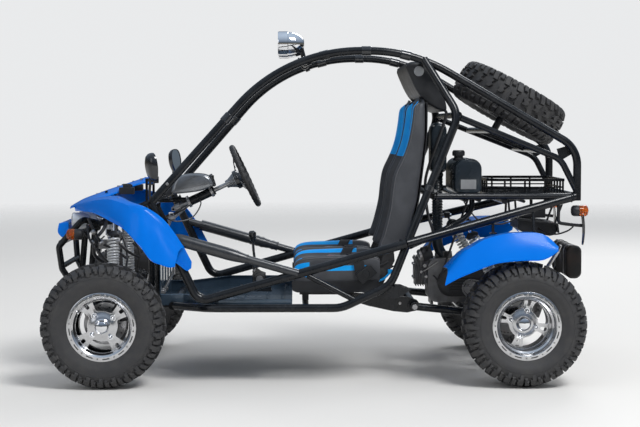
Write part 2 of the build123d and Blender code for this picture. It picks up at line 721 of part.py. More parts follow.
def dash_pod():
    """Rounded instrument pod on a flat bracket from the dash bar."""
    y_low, y_high = WHEEL_CENTRE[1] - POD_HALF_W, WHEEL_CENTRE[1] + POD_HALF_W
    pod = plate_xz(POD_SIDE, y_low, y_high)
    pod = fillet(pod.edges().filter_by(Axis.Y, reverse=True), 14)
    strap = [(730, 775), (700, 775), (625, 815), (625, 835), (660, 835), (730, 800)]
    for y in (y_low + 20, y_high - 26):
        pod += plate_xz(strap, y, y + 6)
    return cope(pod, *bars)


keep("dash_pod", dash_pod())


def rack_mount():
    """Rack housing with its two clamps on the lower rails."""
    body = rack_housing
    for sign in (-1, 1):
        body += block((RACK_X - 20, RACK_X + 20), (sign * 144 - 16, sign * 144 + 16), (RACK_Z, 300))
    body -= bar_y(RACK_X, RACK_Z, RACK_R + GAP, -300, 300)
    return cope(body, nose_frame, lower_shaft)


keep("rack_housing", rack_mount())


def controls():
    """Pedals and gear lever."""
    pedals = tube([(690, 120, 372), (690, 305, 372)], 8)
    for y in (160, 262):
        pedals += tube([(690, y, 372), (640, y, 470)], 6)
        pedals += block((628, 640), (y - 28, y + 28), (448, 500))
    pedals -= block((696, 760), (0, 400), (300, 520))
    keep("pedals", cope(pedals, *both_sides))
    lever = tube([(278, 0, 400), (300, 0, 590)], 6) + tube([(296, 0, 575), (302, 0, 618)], 16)
    lever += block((215, 312), (-22, 22), (FLOOR_Z + SHEET, 402))
    keep("gear_lever", lever)


controls()

# Bodywork skins, each section as a row of points from the inner line to the outer edge
SKIN = 4
HOOD = [
    # x, ridge z, half width, edge z
    (1131, 738, 45, 733), (1108, 752, 100, 742), (1065, 775, 188, 757), (1003, 798, 233, 781),
    (945, 819, 243, 793), (885, 838, 200, 815), (840, 853, 165, 835), (791, 868, 145, 850),
    (742, 872, 135, 852),
]
FRONT_FENDER = [
    [(1100, 118, 742), (1096, 128, 740), (1090, 142, 724)],
    [(1060, 196, 757), (1050, 245, 758), (1030, 300, 731)],
    [(1000, 241, 781), (988, 365, 778), (972, 400, 728)],
    [(930, 251, 793), (906, 480, 790), (906, 502, 708)],
    [(862, 420, 800), (842, 548, 779), (830, 600, 678)],
    [(798, 525, 780), (800, 588, 766), (786, 640, 641)],
    [(742, 592, 766), (757, 614, 752), (744, 656, 597)],
    [(692, 595, 738), (716, 618, 720), (704, 664, 546)],
    [(648, 595, 700), (675, 620, 682), (663, 666, 528)],
    [(607, 595, 646), (634, 620, 628), (628, 664, 517)],
    [(572, 596, 592), (594, 620, 576), (606, 655, 520)],
]
REAR_FENDER = [
    [(-532, 470, 496), (-538, 640, 500), (-520, 686, 441)],
    [(-592, 460, 556), (-597, 640, 568), (-577, 686, 472)],
    [(-642, 455, 586), (-642, 640, 599), (-637, 687, 497)],
    [(-690, 450, 610), (-688, 640, 626), (-694, 688, 520)],
    [(-751, 448, 628), (-751, 640, 645), (-750, 688, 536)],
    [(-815, 446, 636), (-812, 640, 654), (-839, 688, 545)],
    [(-933, 446, 632), (-933, 640, 650), (-930, 687, 548)],
    [(-994, 450, 588), (-998, 655, 598), (-994, 678, 584)],
]


def skin(rows):
    """Sheet through rows of points; each row is thickened inside its own plane."""
    sections = []
    for row in rows:
        line = [Vector(*p) for p in row]
        across = (line[1] - line[0]).cross(line[-1] - line[1]).normalized()
        if across.X < 0:
            across = across * -1
        inner = []
        for k, point in enumerate(line):
            along = (line[min(k + 1, len(line) - 1)] - line[max(k - 1, 0)]).normalized()
            inner.append(point + across.cross(along) * -SKIN)
        sections.append(make_face(Polyline(*line, *reversed(inner), close=True)))
    return loft(sections, ruled=True)


def front_body():
    """Nose shell with a raised hood and two swept fenders."""
    rows = []
    for x, ridge, half, edge in HOOD:
        places = ((-half, edge), (-half * 0.55, ridge * 0.7 + edge * 0.3), (0, ridge))
        row = [(x, y, z) for y, z in places]
        rows.append(row + [(x, -y, z) for _, y, z in reversed(row[:-1])])
    hood = Part() + skin(rows)
    wing = Part() + skin(FRONT_FENDER)
    keep("hood", cope(hood, *both_sides, *bars, nose_frame, wing, mirrored(wing)))
    keep("fenders_front", *both(cope(wing, *side_frame, *bars, nose_frame)))
    keep("nose_cap", plate_xz([(1123, 672), (1123, 600), (1150, 600), (1172, 622), (1168, 666)], -150, 150))


front_body()


def rear_fender():
    """Creased mudguard over the rear wheel with two stays up to the side brace."""
    body = Part() + skin(REAR_FENDER)
    body += tube([(-746, 480, 626), (-746, 469, 701)], 6)
    body += tube([(-926, 455, 631), (-926, 421, 747)], 6)
    return cope(body, *side_frame, rear_damper)


keep("fenders_rear", *both(rear_fender()))


def lamp(profile, x, y, z):
    """Revolve a (distance forward, radius) outline about a line along X."""
    face = make_face(Plane.XZ * Polyline(*profile, close=True))
    return Pos(x, y, z) * (Part() + revolve(face, Axis.X))


def lamps_and_mirrors():
    """Roof lamps, headlamps, indicators and mirrors."""
    bowl = [(0, 0), (0, 20), (8, 32), (40, 47), (70, 52), (112, 54), (118, 50), (118, 46), (110, 44), (110, 0)]
    lamps = []
    for y in (-ROOF_LAMP_Y, ROOF_LAMP_Y):
        shape = lamp(bowl, 64, y, ROOF_LAMP_Z) + tube([(75, y, ROOF_LAMP_Z - 22), (62, y, ROOF_LAMP_Z - 72)], 9)
        lamps.append(cope(shape, *bars))
    keep("roof_lamps", *lamps)
    shell = [(0, 0), (0, 22), (12, 30), (34, 38), (76, 38), (82, 35), (82, 32), (78, 30), (78, 0)]
    head = lamp(shell, 1030, HEADLAMP_Y, HEADLAMP_Z)
    head += tube([(1040, HEADLAMP_Y, HEADLAMP_Z), (1000, NOSE_HALF_W, HEADLAMP_Z - 18)], 9)
    keep("headlamps", *both(cope(head, nose_frame)))
    lens = [(0, 0), (0, 20), (8, 25), (66, 25), (72, 18), (74, 8), (74, 0)]
    front = lamp(lens, 1036, 301.3, 627)
    rear = mirror(lamp(lens, 1102, REAR_LAMP_Y, REAR_LAMP_Z), about=Plane.YZ)
    keep("indicators", *both(front), *both(rear))
    glass = Box(34, 92, 126)
    glass = Pos(709, 612, 928) * Rot(0, 8, 12) * fillet(glass.edges().filter_by(Axis.X), 22)
    mirror_arm = tube([(715, 575, 775), (715, 600, 830), (711, 607, 880)], 6, [30])
    keep("mirrors", *both(cope(glass + mirror_arm, *side_frame)))
    return rear


rear_lamp = lamps_and_mirrors()


def bumper():
    """Tubular bar ahead of the nose."""
    upper = [(985, 168, 668), (1045, 250, 690), (1098, 262, 631)]
    lower = [(1150, 262, 570), (1140, 240, 470), (1055, 172, 315)]
    side = tube(upper + lower, LIGHT_R, [30, 25, 25, 40])
    side = cope(side, nose_frame)
    frame = side + mirrored(side)
    frame += cross((1140, 265, 588), LIGHT_R - 2)
    frame += cross((1140, 245, 480), LIGHT_R - 2)
    return cope(frame)


keep("bumper", bumper())


def bar(start, end, half):
    """Square bar between two points, its ends run on by half its width."""
    along = (Vector(*end) - Vector(*start)).normalized() * half
    place = Plane(origin=Vector(*start) - along, z_dir=along.normalized())
    length = math.dist(start, end) + 2 * half
    return place * Box(2 * half, 2 * half, length, align=(Align.CENTER, Align.CENTER, Align.MIN))


def basket():
    """Luggage basket of thin square bars behind the fuel tank."""
    x_low, x_high, half, corner = BASKET_X[0], BASKET_X[1], BASKET_HALF_W, 40
    low, middle, high = BASKET_FLOOR_Z, (BASKET_FLOOR_Z + BASKET_RIM_Z) / 2, BASKET_RIM_Z
    frame = Part()
    plan = [(x_low, -half), (x_high - corner, -half), (x_high, -half + corner),
            (x_high, half - corner), (x_high - corner, half), (x_low, half)]
    for z, size in ((high, 6), (middle, 3), (low, 5)):
        outer = make_face(Polyline(*[(x, y, z) for x, y in plan], close=True))
        frame += extrude(offset(outer, size, kind=Kind.INTERSECTION), size, both=True)
        frame -= Pos(0, 0, -size - 1) * extrude(offset(outer, -size, kind=Kind.INTERSECTION), 2 * size + 2)
    for x in (x_low, -1010, -920, -830):
        for y in (-half, half):
            frame += bar((x, y, low), (x, y, high), 4)
    for y in (-150, -75, 0, 75, 150):
        frame += bar((x_low, y, low), (x_high, y, low), 4)
        frame += bar((x_low, y, low), (x_low, y, high), 4)
        frame += bar((x_high, y, low), (x_high, y, high), 4)
    return frame


keep("basket", cope(basket(), rails_rear))


def tail():
    """Bent posts under the rear braces with the flaps that carry the rear indicators."""
    arm = tube([(-1043, 390, 777), (-1043, 386, 680), (-1150, REAR_LAMP_Y, 668)], 8, [16])
    flap = block((-1152, -1148), (330, 410), (583, 722))
    return cope(arm + flap, rear_lamp, rails_rear, *side_frame)


keep("tail_brackets", *both(tail()))

os.makedirs("parts", exist_ok=True)
for name, solids in NODES.items():
    export_step(Compound(children=solids), f"parts/{name}.step")
    print(name, len(solids), round(sum(s.volume for s in solids)))
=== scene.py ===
"""Looks of a two-seat dune buggy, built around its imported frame.

Metres in Blender, +X forward, +Y the car's left, +Z up. Outlines are written in millimetres and
become metres when a piece is made.
"""

import math

import bpy
from mathutils.bvhtree import BVHTree
from mathutils import Matrix, Vector


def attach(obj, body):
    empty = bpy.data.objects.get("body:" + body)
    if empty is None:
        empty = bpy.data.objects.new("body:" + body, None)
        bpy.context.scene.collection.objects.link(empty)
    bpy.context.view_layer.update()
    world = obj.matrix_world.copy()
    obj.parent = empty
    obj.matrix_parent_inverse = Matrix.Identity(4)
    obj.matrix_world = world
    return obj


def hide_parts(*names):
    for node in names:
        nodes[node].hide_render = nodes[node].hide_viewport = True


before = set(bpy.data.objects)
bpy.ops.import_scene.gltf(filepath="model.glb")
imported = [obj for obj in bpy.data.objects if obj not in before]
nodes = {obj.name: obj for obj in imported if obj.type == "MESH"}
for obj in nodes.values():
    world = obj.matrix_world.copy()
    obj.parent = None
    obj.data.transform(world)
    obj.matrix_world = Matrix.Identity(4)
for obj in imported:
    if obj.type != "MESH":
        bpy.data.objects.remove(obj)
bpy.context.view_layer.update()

MM = 0.001

# Wheels, in millimetres
FRONT_AXLE = Vector((913, 0, 264))
REAR_AXLE = Vector((-867, 0, 264))
FRONT_WHEEL_Y = 601
REAR_WHEEL_Y = 565
TYRE_R = 264
SPARE_CENTRE = Vector((-877, 0, 1208))
SPARE_TILT = 29
SEAT_Y = 245

# The frame's large tubes and the clamp sleeves on them, and the roof rails' distance from the middle
TUBE_R = 17.5
SLEEVE_R = 20.5
RAIL_Y = 370
LEFT = Vector((0, 1, 0))
SIDES = ((1, "left"), (-1, "right"))


def material(name, colour, rough, metal=0.0, coat=0.0):
    """A principled material and its shader."""
    mat = bpy.data.materials.new(name)
    mat.use_nodes = True
    shader = mat.node_tree.nodes["Principled BSDF"]
    shader.inputs["Base Color"].default_value = (*colour, 1)
    shader.inputs["Roughness"].default_value = rough
    shader.inputs["Metallic"].default_value = metal
    shader.inputs["Coat Weight"].default_value = coat
    return mat, shader


def pattern(tree, kind, scale, stretch=(1, 1, 1), **inputs):
    """A procedural texture on the piece's own coordinates; returns its node."""
    place = tree.nodes.new("ShaderNodeTexCoord")
    size = tree.nodes.new("ShaderNodeMapping")
    size.inputs["Scale"].default_value = stretch
    node = tree.nodes.new(f"ShaderNodeTex{kind}")
    if "Scale" in node.inputs:
        node.inputs["Scale"].default_value = scale
    for key, value in inputs.items():
        node.inputs[key.replace("_", " ")].default_value = value
    tree.links.new(place.outputs["Object"], size.inputs["Vector"])
    tree.links.new(size.outputs["Vector"], node.inputs["Vector"])
    return node


def remap(tree, source, low, high, to_low, to_high):
    node = tree.nodes.new("ShaderNodeMapRange")
    for key, value in zip(("From Min", "From Max", "To Min", "To Max"), (low, high, to_low, to_high)):
        node.inputs[key].default_value = value
    tree.links.new(source, node.inputs["Value"])
    return node.outputs["Result"]


def vary_colour(tree, shader, factor, other):
    """Mixes the base colour with another by a factor socket."""
    mix = tree.nodes.new("ShaderNodeMix")
    mix.data_type = "RGBA"
    base = shader.inputs["Base Color"]
    if base.is_linked:
        tree.links.new(base.links[0].from_socket, mix.inputs[6])
    else:
        mix.inputs[6].default_value = base.default_value
    mix.inputs[7].default_value = (*other, 1)
    tree.links.new(factor, mix.inputs[0])
    tree.links.new(mix.outputs[2], base)


def relief(tree, shader, height, distance, strength=1.0):
    """Adds a bump of a height socket, in metres, after any bump that is there."""
    bump = tree.nodes.new("ShaderNodeBump")
    bump.inputs["Distance"].default_value = distance
    bump.inputs["Strength"].default_value = strength
    normal = shader.inputs["Normal"]
    if normal.is_linked:
        tree.links.new(normal.links[0].from_socket, bump.inputs["Normal"])
    tree.links.new(height, bump.inputs["Height"])
    tree.links.new(bump.outputs["Normal"], normal)


def finish_of(name, colour, rough, metal=0.0, coat=0.0, other=None, share=0.6, cloud=9.0, spread=0.1,
              grain=900.0, depth=0.0001, kind="Noise"):
    """A finish with cloudy colour and gloss and a fine grain."""
    mat, shader = material(name, colour, rough, metal, coat)
    tree = mat.node_tree
    clouds = pattern(tree, "Noise", cloud, Detail=5.0).outputs["Fac"]
    if other:
        vary_colour(tree, shader, remap(tree, clouds, 0.42, 0.72, 0, share), other)
    tree.links.new(remap(tree, clouds, 0.3, 0.7, rough - spread / 2, rough + spread / 2),
                   shader.inputs["Roughness"])
    fine = pattern(tree, kind, grain)
    relief(tree, shader, fine.outputs["Distance" if kind == "Voronoi" else "Fac"], depth)
    return mat


def rubber_finish():
    """Tyre rubber with patchy dust and a fine grain."""
    mat, shader = material("tyre_rubber", (0.028, 0.028, 0.03), 0.62)
    tree = mat.node_tree
    dust = pattern(tree, "Noise", 22.0, Detail=8.0, Roughness=0.7).outputs["Fac"]
    vary_colour(tree, shader, remap(tree, dust, 0.45, 0.75, 0, 0.55), (0.075, 0.072, 0.068))
    fine = pattern(tree, "Noise", 700.0, Detail=3.0).outputs["Fac"]
    vary_colour(tree, shader, remap(tree, fine, 0.55, 0.8, 0, 0.35), (0.09, 0.085, 0.08))
    tree.links.new(remap(tree, dust, 0.3, 0.7, 0.5, 0.8), shader.inputs["Roughness"])
    relief(tree, shader, fine, 0.0004)
    return mat


def vinyl_finish(name, colour):
    """Seat vinyl: pebbled leather grain and slow creases."""
    mat, shader = material(name, colour, 0.42)
    tree = mat.node_tree
    pebble = pattern(tree, "Voronoi", 420.0).outputs["Distance"]
    relief(tree, shader, pebble, 0.0003, 0.6)
    crease = pattern(tree, "Noise", 16.0, Detail=3.0).outputs["Fac"]
    relief(tree, shader, crease, 0.004, 0.5)
    vary_colour(tree, shader, remap(tree, crease, 0.4, 0.8, 0, 0.4),
                tuple(min(1, c * 1.8 + 0.01) for c in colour))
    tree.links.new(remap(tree, crease, 0.3, 0.7, 0.36, 0.52), shader.inputs["Roughness"])
    return mat


def webbing_finish():
    """Belt webbing: a fine rib across the strap."""
    mat, shader = material("webbing", (0.012, 0.012, 0.014), 0.75)
    tree = mat.node_tree
    weave = pattern(tree, "Wave", 260.0, Distortion=0.4).outputs["Fac"]
    relief(tree, shader, weave, 0.0005)
    vary_colour(tree, shader, remap(tree, weave, 0, 1, 0, 0.5), (0.035, 0.035, 0.04))
    return mat


def lens_finish(name, colour, rough=0.05):
    mat, shader = material(name, colour, rough)
    shader.inputs["Transmission Weight"].default_value = 0.85
    shader.inputs["IOR"].default_value = 1.45
    tree = mat.node_tree
    relief(tree, shader, pattern(tree, "Noise", 60.0).outputs["Fac"], 0.0003)
    return mat


PLAIN_FINISHES = {
    # name, colour, roughness, metal, coat, other colour, its share, cloud scale, gloss spread, grain scale,
    # relief in metres, pattern of the grain
    "frame": ("frame_black", (0.006, 0.007, 0.009), 0.25, 0, 0.2, (0.018, 0.02, 0.023), 0.5, 14, 0.1, 700,
              0.00012),
    "pad": ("pad_sleeve", (0.022, 0.024, 0.028), 0.3, 0, 0.2, (0.04, 0.042, 0.046), 0.5, 20, 0.1, 400,
            0.0002),
    "foam": ("foam_sleeve", (0.018, 0.018, 0.02), 0.85, 0, 0, (0.05, 0.05, 0.05), 0.6, 20, 0.1, 600, 0.0008,
             "Voronoi"),
    "floor": ("floor_sheet", (0.045, 0.075, 0.11), 0.22, 0.4, 0.4, (0.09, 0.13, 0.18), 0.6, 9, 0.14, 300,
              0.0002),
    # machined alloy under a dull film
    "alloy": ("alloy", (0.6, 0.6, 0.61), 0.2, 1, 0, (0.5, 0.5, 0.5), 0.3, 12, 0.06, 1500, 0.00002),
    "steel": ("plated_steel", (0.42, 0.42, 0.43), 0.33, 0.9, 0, (0.2, 0.17, 0.14), 0.5, 30, 0.2, 600, 0.0001),
    "spring": ("spring_wire", (0.66, 0.67, 0.68), 0.3, 0.3, 0.3, (0.5, 0.5, 0.5), 0.5, 30, 0.1, 500, 0.00005),
    "pod": ("pod_grey", (0.19, 0.2, 0.215), 0.2, 0.6, 0.3, (0.38, 0.39, 0.41), 0.4, 12, 0.1, 400, 0.0001),
    "chrome": ("chrome_plate", (0.82, 0.83, 0.85), 0.07, 1, 0, (0.6, 0.6, 0.62), 0.4, 25, 0.05, 300, 0.00002),
    "cast": ("cast_alloy", (0.2, 0.2, 0.205), 0.5, 0.75, 0, (0.07, 0.065, 0.06), 0.6, 18, 0.15, 450, 0.0006),
    "black_cast": ("black_casting", (0.02, 0.02, 0.022), 0.45, 0.2, 0, (0.06, 0.06, 0.06), 0.6, 18, 0.15, 450,
                   0.0005),
    "exhaust": ("heat_black", (0.009, 0.009, 0.009), 0.5, 0.2, 0, (0.035, 0.02, 0.014), 0.5, 16, 0.2, 500,
                0.0003),
    "tank": ("tank_black", (0.015, 0.022, 0.03), 0.28, 0, 0.2, (0.03, 0.045, 0.06), 0.5, 8, 0.1, 350,
             0.00015),
    "plastic": ("moulded_black", (0.016, 0.017, 0.02), 0.42, 0, 0, (0.04, 0.042, 0.046), 0.5, 12, 0.12, 500,
                0.0003, "Voronoi"),
    "gloss": ("gloss_black", (0.01, 0.011, 0.013), 0.16, 0, 0.4, (0.02, 0.022, 0.026), 0.5, 10, 0.08, 300,
              0.00004),
    "blue": ("body_blue", (0.0, 0.155, 0.68), 0.24, 0, 0.05, (0.0, 0.17, 0.72), 0.5, 6, 0.08, 260, 0.00006),
    "piping": ("seat_piping", (0.085, 0.087, 0.095), 0.4, 0, 0, (0.12, 0.12, 0.13), 0.4, 30, 0.1, 300,
               0.0001),
    "lamp_white": ("lamp_body", (0.85, 0.88, 0.92), 0.15, 0.2, 0.6, (0.95, 0.97, 1.0), 0.5, 20, 0.1, 300,
                   0.00005),
    "mirror": ("mirror_glass", (0.85, 0.88, 0.9), 0.03, 1, 0, None, 0, 8, 0.02, 50, 0.00001),
    "grip": ("grip_rubber", (0.012, 0.012, 0.013), 0.55, 0, 0, (0.03, 0.03, 0.03), 0.6, 30, 0.1, 520, 0.0005,
             "Voronoi"),
    "wire": ("cable_black", (0.015, 0.015, 0.017), 0.4, 0, 0, (0.04, 0.04, 0.045), 0.5, 40, 0.1, 500, 0.0002),
    "grey": ("grey_plastic", (0.3, 0.31, 0.32), 0.4, 0, 0, (0.18, 0.18, 0.19), 0.5, 20, 0.1, 500, 0.0002),
    "gauge": ("gauge_face", (0.02, 0.02, 0.022), 0.3, 0, 0, (0.05, 0.05, 0.055), 0.4, 60, 0.1, 400, 0.0001),
}
FINISH = {key: finish_of(*row) for key, row in PLAIN_FINISHES.items()} | {
    "rubber": rubber_finish(),
    "vinyl": vinyl_finish("seat_vinyl", (0.05, 0.053, 0.06)),
    "vinyl_blue": vinyl_finish("seat_blue", (0.0, 0.3, 0.85)),
    "webbing": webbing_finish(),
    "glass": lens_finish("clear_lens", (0.95, 0.97, 1.0)),
    "amber": lens_finish("amber_lens", (1.0, 0.24, 0.02), 0.15),
    "red": lens_finish("red_lens", (0.8, 0.02, 0.02), 0.15),
}
SPECULAR = {"frame": 0.22, "blue": 0.1, "vinyl": 0.3, "vinyl_blue": 0.25, "tank": 0.35, "plastic": 0.35,
            "exhaust": 0.3}
for key, level in SPECULAR.items():
    FINISH[key].node_tree.nodes["Principled BSDF"].inputs["Specular IOR Level"].default_value = level


class Piece:
    """Vertices and faces of one piece, in millimetres until it is made."""

    def __init__(self):
        self.verts = []
        self.faces = []
        self.marks = []

    def add(self, shape, mark=0, place=None):
        verts, faces = shape
        base = len(self.verts)
        self.verts += [place @ Vector(v) if place else Vector(v) for v in verts]
        self.faces += [tuple(base + i for i in face) for face in faces]
        self.marks += [mark] * len(faces)
        return self

    def make(self, name, finishes, slot, body="chassis", instead=None, bevel=0.0, sharp=38, subdivide=0):
        """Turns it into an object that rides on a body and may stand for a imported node.

        The marks pick from the finishes; the bevel is in millimetres, the sharp angle in degrees.
        """
        mesh = bpy.data.meshes.new(name)
        mesh.from_pydata([v * MM for v in self.verts], [], self.faces)
        for key in finishes:
            mesh.materials.append(FINISH[key])
        mesh.polygons.foreach_set("material_index", self.marks)
        mesh.shade_smooth()
        mesh.validate()
        mesh.set_sharp_from_angle(angle=math.radians(sharp))
        obj = bpy.data.objects.new(name, mesh)
        bpy.context.scene.collection.objects.link(obj)
        if bevel:
            edge = obj.modifiers.new("edges", "BEVEL")
            edge.width = bevel * MM
            edge.segments = 2
            edge.limit_method = "ANGLE"
            edge.angle_limit = math.radians(32)
            edge.harden_normals = True
        if subdivide:
            more = obj.modifiers.new("round", "SUBSURF")
            more.levels = subdivide
            more.render_levels = subdivide
        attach(obj, body)
        if instead:
            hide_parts(instead)
        return obj


def rows_to_faces(rows, cols, wrap_rows=False, wrap_cols=True):
    """Quads of a grid of rows by cols vertices."""
    faces = []
    for r in range(rows if wrap_rows else rows - 1):
        for c in range(cols if wrap_cols else cols - 1):
            r2, c2 = (r + 1) % rows, (c + 1) % cols
            faces.append((r * cols + c, r * cols + c2, r2 * cols + c2, r2 * cols + c))
    return faces


def loft(rings, closed=False, capped=True):
    """Skin over rings of equal length; capped with one face at each end."""
    count = len(rings[0])
    verts = [v for ring in rings for v in ring]
    faces = rows_to_faces(len(rings), count, closed)
    if capped and not closed:
        faces.append(tuple(reversed(range(count))))
        faces.append(tuple(range(len(verts) - count, len(verts))))
    return verts, faces


def polar(radius, turn, y=0.0, centre=Vector((0, 0, 0))):
    """Point on a circle about an axis along Y, turned from +X towards +Z."""
    return centre + Vector((radius * math.cos(turn), y, radius * math.sin(turn)))


def around(count):
    """Angles of evenly spaced points on a circle."""
    return [2 * math.pi * k / count for k in range(count)]


def arc(x, z, radius, start, end, steps=8):
    """Points (x, z) on an arc between two angles in degrees."""
    turns = [math.radians(start + (end - start) * k / steps) for k in range(steps + 1)]
    return [(x + radius * math.cos(turn), z + radius * math.sin(turn)) for turn in turns]


def rounded_outline(x, z, low_round, high_round=None, steps=8):
    """Rectangle in X and Z with round corners; the upper two may have a radius of their own."""
    low, high = low_round, high_round or low_round
    return (arc(x[1] - high, z[1] - high, high, 0, 90, steps) + arc(x[0] + high, z[1] - high, high, 90, 180,
                                                                    steps)
            + arc(x[0] + low, z[0] + low, low, 180, 270, steps) + arc(x[1] - low, z[0] + low, low, 270, 360,
                                                                      steps))


def lathe(profile, segments=96, closed=True):
    """Revolves a list of (y, radius) about the Y axis."""
    rings = [[polar(radius, turn, y) for turn in around(segments)] for y, radius in profile]
    return loft(rings, closed, capped=not closed)


def smooth_line(points, steps=6, closed=False):
    """Catmull-Rom line through the points."""
    pts = [Vector(p) for p in points]
    n = len(pts)
    line = []
    for i in range(n if closed else n - 1):
        if closed:
            a, b, c, d = (pts[(i + k) % n] for k in (-1, 0, 1, 2))
        else:
            a, b, c, d = pts[max(i - 1, 0)], pts[i], pts[i + 1], pts[min(i + 2, n - 1)]
        for s in range(steps):
            t = s / steps
            line.append(0.5 * (2 * b + (c - a) * t + (2 * a - 5 * b + 4 * c - d) * t * t
                               + (3 * b - a - 3 * c + d) * t ** 3))
    if not closed:
        line.append(pts[-1])
    return line


def sweep(line, radius, sides=12, closed=False, flat=1.0, up=None):
    """Round or flattened bar along a line; radius is a number or a list."""
    line = [Vector(p) for p in line]
    n = len(line)
    rings = []
    normal = up
    for i, point in enumerate(line):
        if closed:
            along = (line[(i + 1) % n] - line[i - 1]).normalized()
        else:
            along = (line[min(i + 1, n - 1)] - line[max(i - 1, 0)]).normalized()
        if normal is None:
            normal = along.orthogonal()
        normal = (normal - along * normal.dot(along)).normalized()
        side = along.cross(normal)
        r = radius[i] if isinstance(radius, list) else radius
        ring = []
        for k in range(sides):
            turn = 2 * math.pi * k / sides
            ring.append(point + normal * math.cos(turn) * r * flat + side * math.sin(turn) * r)
        rings.append(ring)
    return loft(rings, closed)


def hose(points, radius, sides=8, steps=8):
    """Round bar along a smooth line through the points."""
    return sweep(smooth_line(points, steps), radius, sides)


def prism(outline, low, high):
    """Outline of (x, z) points extruded along Y."""
    return loft([[Vector((x, y, z)) for x, z in outline] for y in (low, high)])


def box(x, y, z):
    return prism([(x[0], z[0]), (x[1], z[0]), (x[1], z[1]), (x[0], z[1])], y[0], y[1])


def rod(start, end, radius, sides=16):
    return sweep([start, end], radius, sides)


def hexagon(place, along, radius, height):
    """Bolt head or nut."""
    start = Vector(place)
    return sweep([start, start + Vector(along).normalized() * height], radius, 6)


def pillow(line, centre, stations):
    """Outline of (x, z) points scaled about a centre, at stations of (y, scale)."""
    cx, cz = centre
    return loft([[Vector((cx + (x - cx) * grow, y, cz + (z - cz) * grow)) for x, z in line] for y,
                 grow in stations])


def span(side, low, high):
    """Bounds across the car of a band on one side, the lesser first."""
    return sorted((side * low, side * high))


def placed(shape, place):
    """The shape with a matrix applied."""
    verts, faces = shape
    return [place @ Vector(v) for v in verts], faces


def turned(shape, angle, axis="Y"):
    return placed(shape, Matrix.Rotation(math.radians(angle), 4, axis))


def mirrored(shape):
    """The shape on the other side of the car."""
    verts, faces = shape
    return [Vector((v[0], -v[1], v[2])) for v in verts], [tuple(reversed(f)) for f in faces]


def cut_out(base, cutters, name):
    """Boolean difference, back as a (verts, faces) shape in millimetres."""
    made = []
    for label, shape in (("base", base), *[("cut", c) for c in cutters]):
        mesh = bpy.data.meshes.new(f"{name}_{label}")
        mesh.from_pydata([Vector(v) for v in shape[0]], [], shape[1])
        mesh.validate()
        obj = bpy.data.objects.new(f"{name}_{label}", mesh)
        bpy.context.scene.collection.objects.link(obj)
        made.append(obj)
    cutter_set = bpy.data.collections.new(f"{name}_cutters")
    for obj in made[1:]:
        cutter_set.objects.link(obj)
    cut = made[0].modifiers.new("cut", "BOOLEAN")
    cut.operand_type = "COLLECTION"
    cut.collection = cutter_set
    cut.solver = "EXACT"
    shown = made[0].evaluated_get(bpy.context.evaluated_depsgraph_get())
    result = bpy.data.meshes.new_from_object(shown)
    shape = [v.co.copy() for v in result.vertices], [tuple(p.vertices) for p in result.polygons]
    for obj in made:
        bpy.data.objects.remove(obj)
    bpy.data.collections.remove(cutter_set)
    return shape


def carcass(half, seat):
    """Half section of a tyre under its lugs, as (distance from the middle, radius), tread to bead."""
    return [
        (0, 250), (half * 0.35, 249), (half * 0.6, 246), (half * 0.78, 239), (half * 0.9, 226),
        (half * 0.97, 211), (half - 1, 197), (half * 0.975, 180), (half * 0.92, 165),
        ((half + seat) / 2 * 0.97, 153), (seat + 3, 146), (seat + 1, 143), (seat - 2, 139),
    ]


def along_section(section, distance):
    """Point and outward normal at a distance along a half section."""
    for a, b in zip(section, section[1:]):
        step = math.dist(a, b)
        if distance <= step or b is section[-1]:
            t = distance / step
            point = Vector((a[0] + (b[0] - a[0]) * t, a[1] + (b[1] - a[1]) * t))
            return point, Vector((-(b[1] - a[1]), b[0] - a[0])).normalized()
        distance -= step


def lug(section, side, stations):
    """Tread block along stations of (distance, turn from, turn to, height)."""
    widest = max(x for x, _ in section) + 1
    rings = []
    for distance, turn_a, turn_b, height in stations:
        point, normal = along_section(section, distance)
        top = point + normal * height
        top.y = min(top.y, TYRE_R)
        top.x = min(top.x, widest)
        low = point - normal * 3
        inset = 0.012 * min(1, height / 10)
        corners = ((low, turn_a), (top, turn_a + inset), (top, turn_b - inset), (low, turn_b))
        rings.append([polar(place.y, turn, side * place.x) for place, turn in corners])
    return loft(rings)


# Tread blocks as (distance in half widths, turn from, turn to, height); turns are in pitches and may have a
# second part in radians
LONG_LUG = [
    (0.50, (0, 0.02), (0.42, 0), 9), (0.53, (0, 0), (0.44, 0), 13), (0.78, (0.1, 0), (0.54, 0), 13.8),
    (0.86, (0.1, 0), (0.6, 0), 14), (0.98, (0.1, 0), (0.6, 0), 11.5), (0.99, (0.1, 0), (0.46, 0), 11),
    (1.11, (0.1, 0), (0.46, 0), 7), (1.13, (0.1, 0.02), (0.43, 0), 1),
]
SHORT_LUG = [
    (0.66, (0.66, -0.02), (0.96, 0), 11), (0.70, (0.66, -0.02), (0.96, 0), 13.5),
    (0.84, (0.66, 0), (1.04, 0), 14), (0.93, (0.66, 0), (1.04, 0), 12.5), (0.94, (0.76, 0), (1.04, 0), 12),
    (1.02, (0.76, 0), (1.04, 0), 8.5), (1.04, (0.77, 0), (1.03, 0), 1),
]
INNER_LUG = [
    (0.05, (0.30, 0), (0.72, 0), 13.9), (0.20, (0.14, 0), (0.62, 0), 14), (0.30, (0.26, 0), (0.74, 0), 14),
    (0.43, (0.12, 0), (0.52, 0), 14),
]


